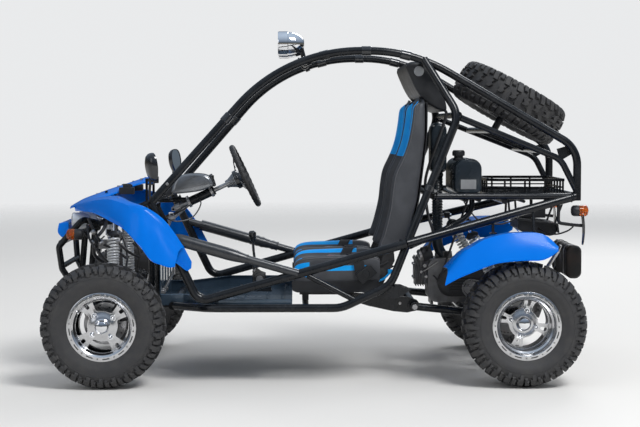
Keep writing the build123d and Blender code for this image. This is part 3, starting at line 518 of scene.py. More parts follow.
def tyre_shape(width, rim_width, pitches):
    """Knobbly tyre with staggered shoulder lugs and zigzag centre lugs."""
    half, seat = width / 2, rim_width / 2
    section = carcass(half, seat)
    piece = Piece()
    right = [(p.x, p.y) for p in smooth_line([(y, r, 0) for y, r in section], 3)]
    outline = [(-y, r) for y, r in reversed(right)] + right[1:] + [(seat - 8, 129), (-seat + 8, 129)]
    piece.add(lathe(outline, 120))
    # rim guard and the line where the shoulder lugs end
    for side in (-1, 1):
        for distance in (half * 1.2, half * 2.02):
            point, _ = along_section(section, distance)
            ring = [polar(point.y, turn, side * point.x) for turn in around(120)]
            piece.add(sweep(ring, 1.6, 6, closed=True))
    pitch = 2 * math.pi / pitches
    for k in range(pitches):
        for side in (-1, 1):
            skew = (k + (0.5 if side > 0 else 0)) * pitch
            for block in (LONG_LUG, SHORT_LUG, INNER_LUG):
                stations = [(half * far, skew + a * pitch + more_a, skew + b * pitch + more_b, height)
                            for far, (a, more_a), (b, more_b), height in block]
                piece.add(lug(section, side, stations))
    return piece.verts, piece.faces


def kidney(low, high, half_turn, deep, round_by=9):
    """Cutter for a window between two radii, its corners rounded, centred on +X."""
    corners = []
    for radius, turn in ((low, half_turn), (high, half_turn), (high, -half_turn), (low, -half_turn)):
        turn = math.radians(turn)
        mid = (low + high) / 2
        toward = 1 if radius < mid else -1
        swing = -math.copysign(round_by / radius, turn)
        a = (radius, turn + swing)
        b = (radius + toward * round_by, turn)
        c = (radius + toward * round_by * 0.29, turn + swing * 0.29)
        trio = [a, c, b] if (radius < mid) == (turn > 0) else [b, c, a]
        corners.append(trio)
    line = []
    for i, trio in enumerate(corners):
        line += trio
        nxt = corners[(i + 1) % 4][0]
        last = trio[-1]
        if abs(last[0] - nxt[0]) < 1:
            for s in range(1, 8):
                line.append((last[0], last[1] + (nxt[1] - last[1]) * s / 8))
    outline = [(r * math.cos(t), r * math.sin(t)) for r, t in line]
    return prism(outline, *deep)


def rim_shape(rim_width, face_y, dish, window, slot, bolt_count=12):
    """Alloy rim: barrel, lipped ring, dished four-spoke face with windows, spoke slots and bolt holes."""
    seat = rim_width / 2
    outer = seat + 6
    section = [
        (-outer, 145), (-seat, 145), (-seat, 127), (-seat + 24, 127), (-seat + 40, 109), (seat - 40, 109),
        (seat - 24, 127), (seat, 127), (seat, 145), (outer - 1, 145), (outer, 143), (outer, 127),
        (outer - 2, 125), (face_y + dish + 5, 119), (face_y + 6, 113), (face_y + 1, 108), (face_y, 96),
        (face_y, 60), (face_y + 4, 46), (face_y + 7, 40), (face_y + 7, 1), (face_y - 14, 1),
        (face_y - 14, 60), (face_y - 10, 66), (face_y - 10, 101), (face_y - 22, 103), (-seat + 42, 103),
        (-seat + 26, 121), (-outer, 121),
    ]
    deep = (face_y - 60, face_y + 60)
    cutters = []
    for quarter in range(4):
        turn = 45 + 90 * quarter
        cutters.append(turned(kidney(*window, deep), turn))
        cutters.append(turned(kidney(*slot, deep, 4), turn + 45))
        cutters.append(turned(rod((55, deep[0], 0), (55, deep[1], 0), 9, 24), turn + 45))
    step = 360 / bolt_count
    groove = kidney(132, 137, step * 0.22, (outer - 2.5, outer + 5), 2.3)
    cutters += [turned(groove, k * step) for k in range(bolt_count)]
    return cut_out(lathe(section, 128), cutters, "rim")


def wheel_trim(outer_y, face_y, bolt_count=12):
    """Ring bolts, lug nuts and the plain centre cap of one wheel, outer side towards +Y."""
    steel, chrome = Piece(), Piece()
    step = 360 / bolt_count
    floor = kidney(132.2, 136.8, step * 0.215, (outer_y - 2.4, outer_y - 1.6), 2.1)
    for k in range(bolt_count):
        steel.add(turned(floor, k * step), mark=1)
        steel.add(hexagon(polar(134.5, math.radians((k + 0.5) * step), outer_y - 1), (0, 1, 0), 4.2, 4))
    tip = [(face_y + 12, 8), (face_y + 16, 6), (face_y + 18, 3), (face_y + 18, 0.1)]
    collar = [(face_y + 2, 13), (face_y - 4, 13), (face_y - 4, 9), (face_y + 2, 9)]
    for turn in around(4):
        place = Matrix.Translation(polar(55, turn))
        chrome.add(hexagon(polar(55, turn, face_y - 4), (0, 1, 0), 9.5, 16))
        chrome.add(lathe(tip, 16, closed=False), place=place)
        chrome.add(lathe(collar, 24), place=place)
    cap = [(face_y + 6, 33), (face_y + 10, 32), (face_y + 12, 29), (face_y + 24, 27), (face_y + 30, 23),
           (face_y + 33, 15), (face_y + 34, 0.1)]
    chrome.add(lathe(cap, 48, closed=False))
    return steel, chrome


FRONT_RIM = rim_shape(140, 38, 26, (64, 112, 29), (92, 111, 4.5))
REAR_RIM = rim_shape(203, -2, 60, (62, 106, 31), (75, 102, 4.5))
FRONT_TREAD = tyre_shape(178, 140, 26)
REAR_TREAD = tyre_shape(250, 203, 26)


def wheel(name, place, body, rim, tread, face_y, outer_y, nodes_shown, valve_turn):
    """One wheel; place is the matrix that puts its centre and outer side where they belong."""
    tyre_node, rim_node = nodes_shown
    Piece().add(tread, place=place).make(f"{name}_tyre", ["rubber"], "tyre", body, tyre_node, sharp=32)
    Piece().add(rim, place=place).make(f"{name}_rim", ["alloy"], "rim_alloy", body, rim_node, bevel=1.2,
                                       sharp=30)
    steel, chrome = wheel_trim(outer_y, face_y)
    chrome.add(turned(rod((118, outer_y - 22, 0), (112, outer_y + 2, 0), 3.2, 12), valve_turn))
    for piece in (steel, chrome):
        piece.verts = [place @ v for v in piece.verts]
    steel.make(f"{name}_ring_bolts", ["steel", "gloss"], "steel", body, bevel=0.5)
    chrome.make(f"{name}_cap_and_nuts", ["chrome"], "rim_alloy", body, bevel=0.6)


def wheels():
    turn_front = Matrix.Rotation(math.radians(-52), 4, "Y")
    turn_rear = Matrix.Rotation(math.radians(-16), 4, "Y")
    front = (FRONT_RIM, FRONT_TREAD, 38, 76)
    for side, label in SIDES:
        face = Matrix.Identity(4) if side > 0 else Matrix.Rotation(math.pi, 4, "Z")
        centre = Matrix.Translation(FRONT_AXLE + Vector((0, side * FRONT_WHEEL_Y, 0)))
        wheel(f"front_{label}", centre @ face @ turn_front, f"wheel_front_{label}", *front,
              (f"tyre_front_{label}", f"rim_front_{label}"), 20)
        centre = Matrix.Translation(REAR_AXLE + Vector((0, side * REAR_WHEEL_Y, 0)))
        wheel(f"rear_{label}", centre @ face @ turn_rear, "rear_axle", REAR_RIM, REAR_TREAD, -2, 107.5,
              ("tyres_rear", "rims_rear"), 120)
    tilt = Matrix.Rotation(math.radians(-SPARE_TILT), 4, "Y") @ Matrix.Rotation(math.radians(90), 4, "X")
    wheel("spare", Matrix.Translation(SPARE_CENTRE) @ tilt, "chassis", *front, ("spare_tyre", "spare_rim"),
          40)


def sheet_through(rows, thick, across=5, along=4, bulge=5.0, lip=4.0):
    """Moulded skin through rows of three points: inner edge, crest, outer edge.

    The two bands bulge a little, the crest stays a soft crease and the outer edge rolls down.
    """
    grid = []
    for row in rows:
        inner, crest, edge = [Vector(p) for p in row]
        line = []
        for a, b in ((inner, crest), (crest, edge)):
            side = (b - a).cross(Vector((1, 0, 0)))
            outward = side.normalized() if side.z < 0 or side.y > 0 else -side.normalized()
            outward = outward if outward.z > 0 else -outward
            for k in range(across):
                t = k / across
                line.append(a.lerp(b, t) + outward * bulge * math.sin(math.pi * t))
        line.append(edge)
        fall = (edge - crest).normalized()
        line.append(edge + fall * lip * 0.4 + Vector((0, -lip * 0.5, 0)))
        grid.append(line)
    columns = [smooth_line([row[c] for row in grid], along) for c in range(len(grid[0]))]
    outer = [list(ring) for ring in zip(*columns)]
    inside = []
    for r, ring in enumerate(outer):
        low = []
        for c, point in enumerate(ring):
            along_x = outer[min(r + 1, len(outer) - 1)][c] - outer[max(r - 1, 0)][c]
            along_y = ring[min(c + 1, len(ring) - 1)] - ring[max(c - 1, 0)]
            normal = along_x.cross(along_y).normalized()
            normal = normal if normal.z >= 0 or normal.y >= 0.3 else -normal
            low.append(point - normal * thick)
        inside.append(low)
    return loft([top + list(reversed(bottom)) for top, bottom in zip(outer, inside)])


# Body skins in millimetres, rows from the nose backwards: inner edge, crest, outer edge
FRONT_FENDER = [
    [(1100, 118, 742), (1096, 128, 740), (1090, 142, 724)],
    [(1060, 196, 757), (1050, 245, 758), (1030, 300, 731)],
    [(1000, 241, 781), (988, 365, 778), (972, 400, 728)],
    [(930, 251, 793), (906, 480, 790), (906, 502, 708)],
    [(862, 420, 800), (842, 548, 779), (830, 600, 678)],
    [(798, 525, 780), (800, 588, 766), (786, 640, 641)],
    [(742, 592, 766), (757, 614, 752), (744, 656, 597)],
    [(692, 595, 738), (716, 618, 720), (704, 664, 546)],
    [(648, 595, 700), (675, 620, 682), (663, 666, 528)],
    [(607, 595, 646), (634, 620, 628), (628, 664, 517)],
    [(572, 596, 592), (594, 620, 576), (606, 655, 520)],
]
REAR_FENDER = [
    [(-532, 470, 496), (-538, 640, 500), (-520, 686, 441)],
    [(-592, 460, 556), (-597, 640, 568), (-577, 686, 472)],
    [(-642, 455, 586), (-642, 640, 599), (-637, 687, 497)],
    [(-690, 450, 610), (-688, 640, 626), (-694, 688, 520)],
    [(-751, 448, 628), (-751, 640, 645), (-750, 688, 536)],
    [(-815, 446, 636), (-812, 640, 654), (-839, 688, 545)],
    [(-933, 446, 632), (-933, 640, 650), (-930, 687, 548)],
    [(-994, 450, 588), (-998, 655, 598), (-994, 678, 584)],
]
# x, ridge z, half width, edge z
HOOD = [
    (1131, 738, 45, 733), (1108, 752, 100, 742), (1065, 775, 188, 757), (1003, 798, 233, 781),
    (945, 819, 243, 793), (885, 838, 200, 815), (840, 853, 165, 835), (791, 868, 145, 850),
    (742, 872, 135, 852),
]


def skin_between(rows, thick, along=4):
    """Sheet through rows of any number of points, smooth along the car, thickened downwards."""
    columns = [smooth_line([row[c] for row in rows], along) for c in range(len(rows[0]))]
    outer = [list(ring) for ring in zip(*columns)]
    drop = Vector((0, 0, -thick))
    return loft([top + [p + drop for p in reversed(top)] for top in outer])


def fender(end, rows, side, label, bulge=5.0):
    """One mudguard of the front or rear pair."""
    shape = sheet_through(rows, 3.5, bulge=bulge)
    piece = Piece().add(shape if side > 0 else mirrored(shape))
    piece.make(f"fender_{end}_{label}", ["blue"], "body_blue", instead=f"fenders_{end}", sharp=42)


def front_body():
    """Hood with its raised middle, latches and screws, two fenders and the nose cap."""
    rows = []
    for x, ridge, half, edge in HOOD:
        row = []
        for share in (-1, -0.97, -0.86, -0.7, -0.55, -0.4, -0.2, 0, 0.2, 0.4, 0.55, 0.7, 0.86, 0.97, 1):
            rise = 1 - abs(share) ** 2.4
            step = 4 if abs(share) < 0.6 else 0
            z = edge + (ridge - edge - 4) * rise + step
            row.append((x, half * share, z - (3 if abs(share) == 1 else 0)))
        rows.append(row)
    Piece().add(skin_between(rows, 3.5)).make("hood_shell", ["blue"], "body_blue", instead="hood", sharp=50)
    for side, label in SIDES:
        fender("front", FRONT_FENDER, side, label)
    # nose cap: a folded plate ahead of the headlamps
    line = smooth_line([(1127, 0, 670), (1160, 0, 668), (1170, 0, 650), (1171, 0, 624), (1152, 0, 603),
                        (1126, 0, 601)], 5)
    cap = Piece().add(prism([(p.x, p.z) for p in line], -148, 148))
    for y in (-149.5, 146.5):
        cap.add(prism([(1123, 672), (1166, 667), (1172, 640), (1150, 601), (1123, 600)], y, y + 3))
    cap.make("nose_shell", ["blue"], "body_blue", instead="nose_cap", bevel=3)
    # black latches in the hood's side notches, and the rubber pads at its rear end
    black, bolts = Piece(), Piece()
    for side in (1, -1):
        black.add(box((822, 888), span(side, 176, 214), (800, 830)))
        black.add(box((836, 872), span(side, 182, 208), (828, 846)))
        black.add(rod((830, side * 195, 838), (880, side * 195, 824), 5))
        black.add(box((742, 768), span(side, 96, 136), (838, 868)))
        for x, y, z, radius, height in (
            (1000, 90, 795, 6, 9), (905, 90, 830, 6, 9), (800, 90, 862, 6, 9), (958, 300, 780, 5, 8),
            (905, 380, 794, 5, 8), (860, 470, 792, 5, 8), (760, 600, 756, 5, 8),
        ):
            bolts.add(hexagon((x, side * y, z - 4), (0, 0, 1), radius, height))
    black.make("hood_latches", ["plastic"], "panel_black", bevel=2)
    bolts.make("body_bolts", ["steel"], "steel", bevel=0.6)


def rear_fenders():
    """Creased rear mudguards with their stays and bolts."""
    for side, label in SIDES:
        fender("rear", REAR_FENDER, side, label, bulge=6)
        stays = Piece()
        for x, low, high, top in ((-746, 480, 469, 701), (-926, 455, 421, 747)):
            stays.add(rod((x, side * low, 640), (x, side * high, top), 6))
            stays.add(box((x - 14, x + 14), span(side, low - 18, low + 18), (640, 645)))
            stays.add(hexagon((x, side * low, 645), (0, 0, 1), 7, 6))
        stays.make(f"fender_stays_{label}", ["frame"], "frame_black", bevel=0.8)


# Seat side lines in millimetres, from the top of the back down: rear, inner face, front of the bolsters
SEAT_BACK = [
    ((-458, 1203), (-436, 1204), (-420, 1202)), ((-459, 1180), (-428, 1182), (-402, 1180)),
    ((-459, 1120), (-422, 1120), (-394, 1118)), ((-456, 1041), (-412, 1038), (-379, 1037)),
    ((-449, 975), (-403, 970), (-355, 968)), ((-440, 905), (-392, 900), (-321, 895)),
    ((-432, 840), (-383, 835), (-308, 825)), ((-424, 780), (-371, 780), (-300, 750)),
    ((-405, 700), (-350, 690), (-283, 675)), ((-390, 640), (-326, 632), (-268, 622)),
    ((-374, 592), (-306, 586), (-252, 580)), ((-362, 580), (-306, 574), (-262, 568)),
]
SEAT_HALF = 212
BOLSTER = 58


def seat_ring(depth, inner, half, at):
    """Cross section of the back: flat rear, round shoulders, soft bolsters and a shallow middle."""
    w, b = half, BOLSTER
    side = [
        (0, 0), (w * 0.5, 0), (w - 26, 1), (w - 9, 5), (w - 2, 14), (w, 28), (w, depth * 0.55),
        (w - 1, depth - 26), (w - 4, depth - 12), (w - 12, depth - 3), (w - 24, depth), (w - 38, depth - 3),
        (w - 50, depth * 0.7 + inner * 0.3), (w - b - 4, inner + (depth - inner) * 0.22),
        (w - b - 16, inner + 3), (w * 0.45, inner - 1), (w * 0.42, inner - 6), (w * 0.36, inner - 1),
        (0, inner + 4),
    ]
    return [at(y, d) for y, d in side] + [at(-y, d) for y, d in reversed(side[1:-1])]


def column_of(face, n):
    """Column of a quad of a seat's loft, counted from the middle on either side; 0 for end caps and seams."""
    columns = sorted(v % n for v in face)
    return min(columns[0], n - columns[-1]) if len(face) == 4 and columns[-1] - columns[0] < 3 else 0


def seat_back(centre_y):
    """Back cushion as a loft, with a blue band on the upper bolsters and the piping lines."""
    rear, inner, front = (smooth_line([(r[k][0], 0, r[k][1]) for r in SEAT_BACK], 4) for k in range(3))
    rings = []
    for k, (r, i, f) in enumerate(zip(rear, inner, front)):
        along = (f - r).normalized()
        half = SEAT_HALF - 16 * max(0, 1 - k / 10) ** 2
        crown = 30 * max(0, 1 - k / 9) ** 1.5

        def at(y, d, r=r, along=along, crown=crown):
            return Vector((0, centre_y + y, crown * max(0, 1 - (y / 165) ** 2))) + r + along * d
        rings.append(seat_ring((f - r).length, (i - r).dot(along), half, at))
    n = len(rings[0])
    # the band's lower edge slants across the bolster
    band_end = min(range(len(front)), key=lambda k: abs(front[k].z - 975))
    last, above, below = rings[band_end], rings[band_end - 1], rings[band_end + 1]
    for column in range(9, 15):
        share = (column - 11.5) / 2.5 * 0.62
        for c in (column, n - column):
            last[c] = last[c].lerp(below[c] if share > 0 else above[c], abs(share))
    verts, faces = loft(rings)
    marks = [1 if 9 <= column_of(face, n) <= 13 and min(face) // n < band_end else 0 for face in faces]
    lines = [[ring[column] for ring in rings[1:-4]] for column in (8, 14, n - 8, n - 14)]
    return (verts, faces), marks, lines


CUSHION = [
    # x, underside z, middle z, top of the bolsters
    (-262, 440, 498, 516), (-256, 424, 506, 536), (-230, 418, 509, 546), (-190, 416, 508, 549),
    (-120, 415, 507, 547), (-40, 415, 508, 544),
    (30, 415, 510, 541), (75, 416, 508, 534), (100, 420, 498, 520), (110, 430, 482, 500),
    (113, 450, 470, 480),
]


def seat_cushion(centre_y):
    """Seat cushion as a loft with two blue stripes along its sides."""
    rings = []
    stations = [smooth_line([(row[0], row[c], 0) for row in CUSHION], 4) for c in (1, 2, 3)]
    for low, mid, high in zip(*stations):
        x, w = low.x, SEAT_HALF - 10 * max(0, (low.x - 60) / 55) ** 2
        bottom, middle, top = low.y, mid.y, high.y
        tall = top - bottom
        side = [
            (0, bottom), (w * 0.6, bottom), (w - 14, bottom + 1), (w - 3, bottom + tall * 0.05),
            (w, bottom + tall * 0.14), (w + 0.5, bottom + tall * 0.3), (w, bottom + tall * 0.5),
            (w, bottom + tall * 0.66), (w - 1, bottom + tall * 0.82), (w - 5, bottom + tall * 0.93),
            (w - 14, bottom + tall * 0.985), (w - 26, top), (w - 40, top - tall * 0.03),
            (w - 52, top * 0.55 + middle * 0.45), (w - BOLSTER - 6, middle + 8),
            (w - BOLSTER - 18, middle + 1), (w * 0.45, middle - 1), (w * 0.42, middle - 6),
            (w * 0.38, middle), (0, middle + 5),
        ]
        rings.append([Vector((x, centre_y + y, z)) for y, z in side]
                     + [Vector((x, centre_y - y, z)) for y, z in reversed(side[1:-1])])
    verts, faces = loft(rings)
    n = len(rings[0])
    marks = []
    for face in faces:
        near = column_of(face, n)
        x = min(verts[v].x for v in face)
        upper = near in (11, 12) and x > -190 or near in (10, 11, 12) and x > 70
        nose = near in (5, 6, 7) and x > 40
        lower = near == 6 and x > -225
        marks.append(1 if upper or nose or lower else 0)
    lines = [[ring[column] for ring in rings[2:-3]] for column in (9, n - 9)]
    return (verts, faces), marks, lines


def seats():
    """Two bucket seats' pads with blue bands and piping."""
    for side, label in SIDES:
        for build, part in ((seat_back, "back"), (seat_cushion, "cushion")):
            shape, marks, lines = build(side * SEAT_Y)
            pad, piping = Piece().add(shape), Piece()
            pad.marks = marks
            obj = pad.make(f"seat_{part}_{label}", ["vinyl", "vinyl_blue"], "seat_fabric",
                           instead="seat_pads", sharp=60, subdivide=1)
            for line in lines:
                piping.add(sweep(line, 2.0, 8))
            piping.make(f"seat_{part}_piping_{label}", ["piping"], "seat_fabric")


def coil(start, end, radius, wire, turns, sides=10):
    """Spring wire wound round the line between two points, its turns a little closer in the middle than at
    the ends.
    """
    start, end = Vector(start), Vector(end)
    axis = end - start
    along = axis.normalized()
    across = along.orthogonal().normalized()
    other = along.cross(across)
    steps = int(turns * 28)
    line = []
    for k in range(steps + 1):
        t = k / steps
        turn = 2 * math.pi * turns * t
        rise = t + 0.32 / turns * math.sin(2 * math.pi * t)
        line.append(start + axis * rise + (across * math.cos(turn) + other * math.sin(turn)) * radius)
    return sweep(line, wire, sides)


def along_line(start, end, profile, segments=40):
    """Revolves (share of the way, radius) points about the line between two points."""
    start, end = Vector(start), Vector(end)
    along = (end - start).normalized()
    across = along.orthogonal().normalized()
    other = along.cross(across)
    spokes = [across * math.cos(turn) + other * math.sin(turn) for turn in around(segments)]
    return loft([[start.lerp(end, share) + spoke * max(radius, 0.05) for spoke in spokes]
                 for share, radius in profile])


def ball(place, radius, rings=10, segments=20):
    place, up = Vector(place), Vector((0, 0, radius))
    turns = [math.pi * k / rings for k in range(rings + 1)]
    profile = [((1 - math.cos(turn)) / 2, radius * math.sin(turn)) for turn in turns]
    return along_line(place - up, place + up, profile, segments)


def both_sides(piece, shape):
    piece.add(shape)
    piece.add(mirrored(shape))


# top eye, bottom eye, spring radius, wire radius, turns, spring from, spring to (shares from the foot)
DAMPERS = {
    "dampers_front": ((906, 255, 690), (906, 374, 232), 23, 5.4, 16, 0.36, 0.84),
    "dampers_rear": ((-640, 455, 668), (-820, 352, 330), 22.5, 5.2, 15, 0.22, 0.88),
}


def dampers():
    """Dampers with their eyes, cups, rods and bright coils."""
    for node, (top, foot, radius, wire, turns, low, high) in DAMPERS.items():
        dark, bright, rods = Piece(), Piece(), Piece()
        a, b = Vector(foot), Vector(top)
        for profile in (
            [(0.03, 9), (0.05, 14.5), (low - 0.02, 14.5), (low, 14.5)],
            [(low - 0.012, 15), (low - 0.012, 28), (low, 28.5), (low + 0.012, 28), (low + 0.012, 15)],
            [(high - 0.004, 10), (high - 0.004, 27), (high + 0.012, 28), (high + 0.03, 22),
             (high + 0.05, 12)],
        ):
            both_sides(dark, along_line(a, b, profile))
        both_sides(rods, along_line(a, b, [(low, 13.5), (low + 0.3, 13.5), (low + 0.31, 7), (0.97, 7)]))
        both_sides(bright, coil(a.lerp(b, low + 0.014), a.lerp(b, high - 0.006), radius, wire, turns))
        eye = [(0, 10), (0, 14), (0.1, 15), (0.9, 15), (1, 14), (1, 10)]
        for place in (a, b):
            both_sides(dark, along_line(place - Vector((14, 0, 0)), place + Vector((14, 0, 0)), eye))
            for x in (-22, 14):
                both_sides(rods, hexagon(place + Vector((x, 0, 0)), (1, 0, 0), 9, 8))
        dark.make(f"{node}_bodies", ["plastic"], "spring_steel", instead=node, bevel=0.8)
        bright.make(f"{node}_springs", ["spring"], "spring_steel", sharp=60)
        rods.make(f"{node}_rods", ["chrome"], "spring_steel", bevel=0.6)


# Steering: the wheel's centre and the way down the column
WHEEL_CENTRE = Vector((326, 245, 883))
DOWN = Vector((math.cos(math.radians(25)), 0, -math.sin(math.radians(25))))
COLUMN = 350
UP = Vector((math.sin(math.radians(25)), 0, math.cos(math.radians(25))))


def steering():
    """Steering wheel with a padded ring, three drilled spokes and a domed hub; joint and column clamp."""
    place = Matrix((LEFT, UP, -DOWN)).transposed().to_4x4()
    place.translation = WHEEL_CENTRE
    grip = Piece()
    line = [(137 * math.cos(turn), 137 * math.sin(turn), 0) for turn in around(180)]
    radii = [12.2 + 0.7 * math.cos(30 * turn) for turn in around(180)]
    grip.add(sweep(line, radii, 14, closed=True, up=Vector((0, 0, 1))), place=place)
    grip.make("steering_ring", ["grip"], "control_black", "steering_wheel", instead="steering_wheel",
              sharp=60)
    plate = Piece()
    for k in range(3):
        turn = math.radians(90 + 120 * k)
        out = Vector((math.cos(turn), math.sin(turn), 0))
        side = Vector((-math.sin(turn), math.cos(turn), 0))
        rings = []
        for radius, half, z in ((22, 17, -30), (45, 14, -29), (75, 11, -22), (105, 9, -10), (128, 9, -1)):
            middle = out * radius + Vector((0, 0, z))
            rings.append([middle + side * half * sign + Vector((0, 0, lift))
                          for sign, lift in ((1, 2), (-1, 2), (-1, -2), (1, -2))])
        plate.add(loft(rings), place=place)
        for radius, z in ((56, -26), (78, -21), (98, -13)):
            hole = [(0, 4.5), (0, 6.5), (1, 6.5), (1, 4.5)]
            middle = out * radius + Vector((0, 0, z))
            plate.add(along_line(middle, middle + Vector((0, 0, 3.2)), hole, 20), place=place)
    hub = [(0, 20), (0, 40), (0.16, 42), (0.5, 42), (0.62, 38), (0.9, 30), (1, 12), (1, 0.1)]
    plate.add(along_line((0, 0, -48), (0, 0, -14), hub, 48), place=place)
    plate.make("steering_spokes", ["gloss"], "control_black", "steering_wheel", bevel=0.8)
    shine = Piece()
    for k in range(6):
        turn = math.radians(30 + 60 * k)
        start = Vector((30 * math.cos(turn), 30 * math.sin(turn), -26))
        shine.add(along_line(start, start + Vector((0, 0, 4)), [(0, 4), (0.8, 4), (1, 2.6), (1, 0.1)], 14),
                  place=place)
    shine.add(along_line((0, 0, -20), (0, 0, -10), [(0, 18), (0.7, 17), (1, 12), (1, 0.1)], 32), place=place)
    shine.make("steering_cap", ["chrome"], "control_black", "steering_wheel", bevel=0.3)
    shaft = Piece()
    joint = WHEEL_CENTRE + DOWN * COLUMN
    shaft.add(rod(WHEEL_CENTRE + DOWN * 44, joint - DOWN * 30, 10, 24))
    yoke = [(0, 11), (0, 17), (0.75, 17), (0.8, 15), (1, 15), (1, 8)]
    shaft.add(along_line(joint - DOWN * 30, joint - DOWN * 2, yoke, 28))
    for sign in (-1, 1):
        shaft.add(box((joint.x - 9, joint.x + 9), sorted((245 + sign * 9, 245 + sign * 16)),
                      (joint.z - 8, joint.z + 9)))
    shaft.make("steering_shaft", ["steel"], "steel", "steering_wheel", bevel=0.8)
    cross = Piece()
    cross.add(rod(joint - LEFT * 17, joint + LEFT * 17, 5, 16))
    cross.make("joint_cross", ["chrome"], "steel", "steering_wheel", bevel=0.5)
    clamp = Piece()
    low = WHEEL_CENTRE + DOWN * 150
    for t in (8, 118):
        clamp.add(along_line(low + DOWN * t, low + DOWN * (t + 12), [(0, 20), (0, 25), (1, 25), (1, 20)], 36))
        for sign in (-1, 1):
            clamp.add(hexagon(low + DOWN * (t + 6) + LEFT * sign * 20 + UP * 16, UP, 5, 12))
    clamp.make("column_clamps", ["steel"], "steel", bevel=0.8)


def dash_pod():
    """Instrument pod with a glossy hood, two gauges and switches."""
    y0 = WHEEL_CENTRE.y
    side = [(648, 806), (645, 835), (632, 868), (608, 886), (560, 894), (508, 891), (476, 876), (463, 852),
            (470, 838), (520, 818), (590, 808)]
    line = [(v.x, v.z) for v in smooth_line([(x, 0, z) for x, z in side], 4, closed=True)]
    half = [(73, 0.8), (71, 0.9), (66, 0.96), (56, 0.99), (30, 1)]
    stations = [(y0 - y, grow) for y, grow in half] + [(y0, 1)] + [(y0 + y, grow) for y,
                                                                   grow in reversed(half)]
    pod = Piece().add(pillow(line, (556, 850), stations))
    pod.make("dash_shell", ["pod"], "panel_black", instead="dash_pod", sharp=50)
    black, faces = Piece(), Piece()
    for y in (y0 - 54, y0 + 48):
        black.add(prism([(730, 775), (700, 775), (625, 815), (625, 835), (660, 835), (730, 800)], y, y + 6))
    out = Vector((-0.94, 0, 0.34))
    for y in (y0 - 34, y0 + 34):
        centre = Vector((474, y, 862))
        black.add(along_line(centre, centre + out * 9, [(0, 24), (0, 28), (0.7, 29), (1, 27), (1, 24.5),
                                                        (0.4, 24)]))
        faces.add(along_line(centre, centre + out * 3, [(0, 24), (1, 24), (1, 0.1)]))
        faces.add(box((466, 472), (y - 1, y + 1), (858, 884)))
    for y in (y0 - 20, y0, y0 + 20):
        black.add(along_line((486, y, 842), (466, y, 842), [(0, 5), (0.6, 5), (1, 3.5), (1, 0.1)], 16))
    black.make("dash_trim", ["plastic"], "panel_black", bevel=0.8)
    faces.make("dash_gauges", ["gauge"], "panel_black")


def roof_lamps():
    """Roof lamps: chrome bowls, lenses, bulbs and brackets on the front roof bar."""
    bowl, lens, black, inner = Piece(), Piece(), Piece(), Piece()
    for y in (-150, 150):
        bowl.add(along_line((64, y, 1472), (182, y, 1472),
                            [(0, 0.1), (0, 12), (0.03, 20), (0.09, 30), (0.2, 40), (0.36, 47), (0.52, 51),
                             (0.6, 51.5), (0.62, 54), (0.94, 54), (0.99, 52), (0.99, 48), (0.93, 47),
                             (0.6, 30), (0.4, 0.1)], 64))
        lens.add(along_line((172, y, 1472), (180, y, 1472),
                            [(0, 0.1), (0, 47), (0.3, 47), (0.7, 40), (0.9, 22), (1, 0.1)], 64))
        inner.add(ball((150, y, 1472), 9))
        black.add(rod((75, y, 1452), (62, y, 1402), 8.5, 24))
        black.add(along_line((60, y - 16, 1388), (60, y + 16, 1388),
                             [(0, 14), (0, 19), (0.1, 20), (0.9, 20), (1, 19), (1, 14)], 36))
        black.add(box((56, 92), (y - 12, y + 12), (1402, 1408)))
        for ear in (y - 22, y + 22):
            black.add(prism([(66, 1440), (100, 1428), (104, 1440), (72, 1456)], ear - 2, ear + 2))
        inner.add(hexagon((78, y, 1462), (-0.3, 0, -1), 7, 20))
        inner.add(hexagon((60, y - 20, 1395), (0, 1, 0), 5, 40))
    bowl.make("roof_lamp_bowls", ["chrome"], "lamp_chrome", instead="roof_lamps", sharp=42)
    lens.make("roof_lamp_lenses", ["glass"], "lamp_clear", sharp=50)
    inner.make("roof_lamp_bulbs_and_bolts", ["chrome"], "steel")
    black.make("roof_lamp_brackets", ["frame"], "frame_black", bevel=0.8)


def headlamps():
    """Headlamps: white shells on stalks, reflectors with a bulb and ribbed lenses."""
    shell, glass, glow = Piece(), Piece(), Piece()
    for side in (1, -1):
        y = side * 122
        a, b = Vector((1030, y, 676)), Vector((1112, y, 676))
        rim = a.lerp(b, 0.86)
        shell.add(along_line(a, b, [(0, 0.1), (0, 22), (0.14, 30), (0.42, 37), (0.55, 37.8), (0.9, 37.8),
                                    (0.9, 35), (0.5, 33), (0.3, 20), (0.25, 0.1)], 56))
        shell.add(rod((1040, y, 676), (1000, side * 165, 658), 8.5, 20))
        glow.add(along_line(a.lerp(b, 0.3), rim, [(0, 8), (0.3, 22), (1, 34.5), (1, 33), (0.35, 20),
                                                  (0.1, 8)], 48))
        glow.add(ball((1068, y, 676), 7))
        glass.add(along_line(rim, b, [(0, 0.1), (0, 36), (0.4, 37), (0.75, 34), (0.93, 22), (1, 0.1)], 56))
        for k in range(-3, 4):
            tall = 24 - abs(k) * 4
            glass.add(rod((1108, y + k * 8, 676 - tall), (1108, y + k * 8, 676 + tall), 1.6, 8))
    shell.make("headlamp_shells", ["lamp_white"], "lamp_clear", instead="headlamps", sharp=40)
    glow.make("headlamp_reflectors", ["chrome"], "lamp_chrome", sharp=50)
    glass.make("headlamp_lenses", ["glass"], "lamp_clear", sharp=50)


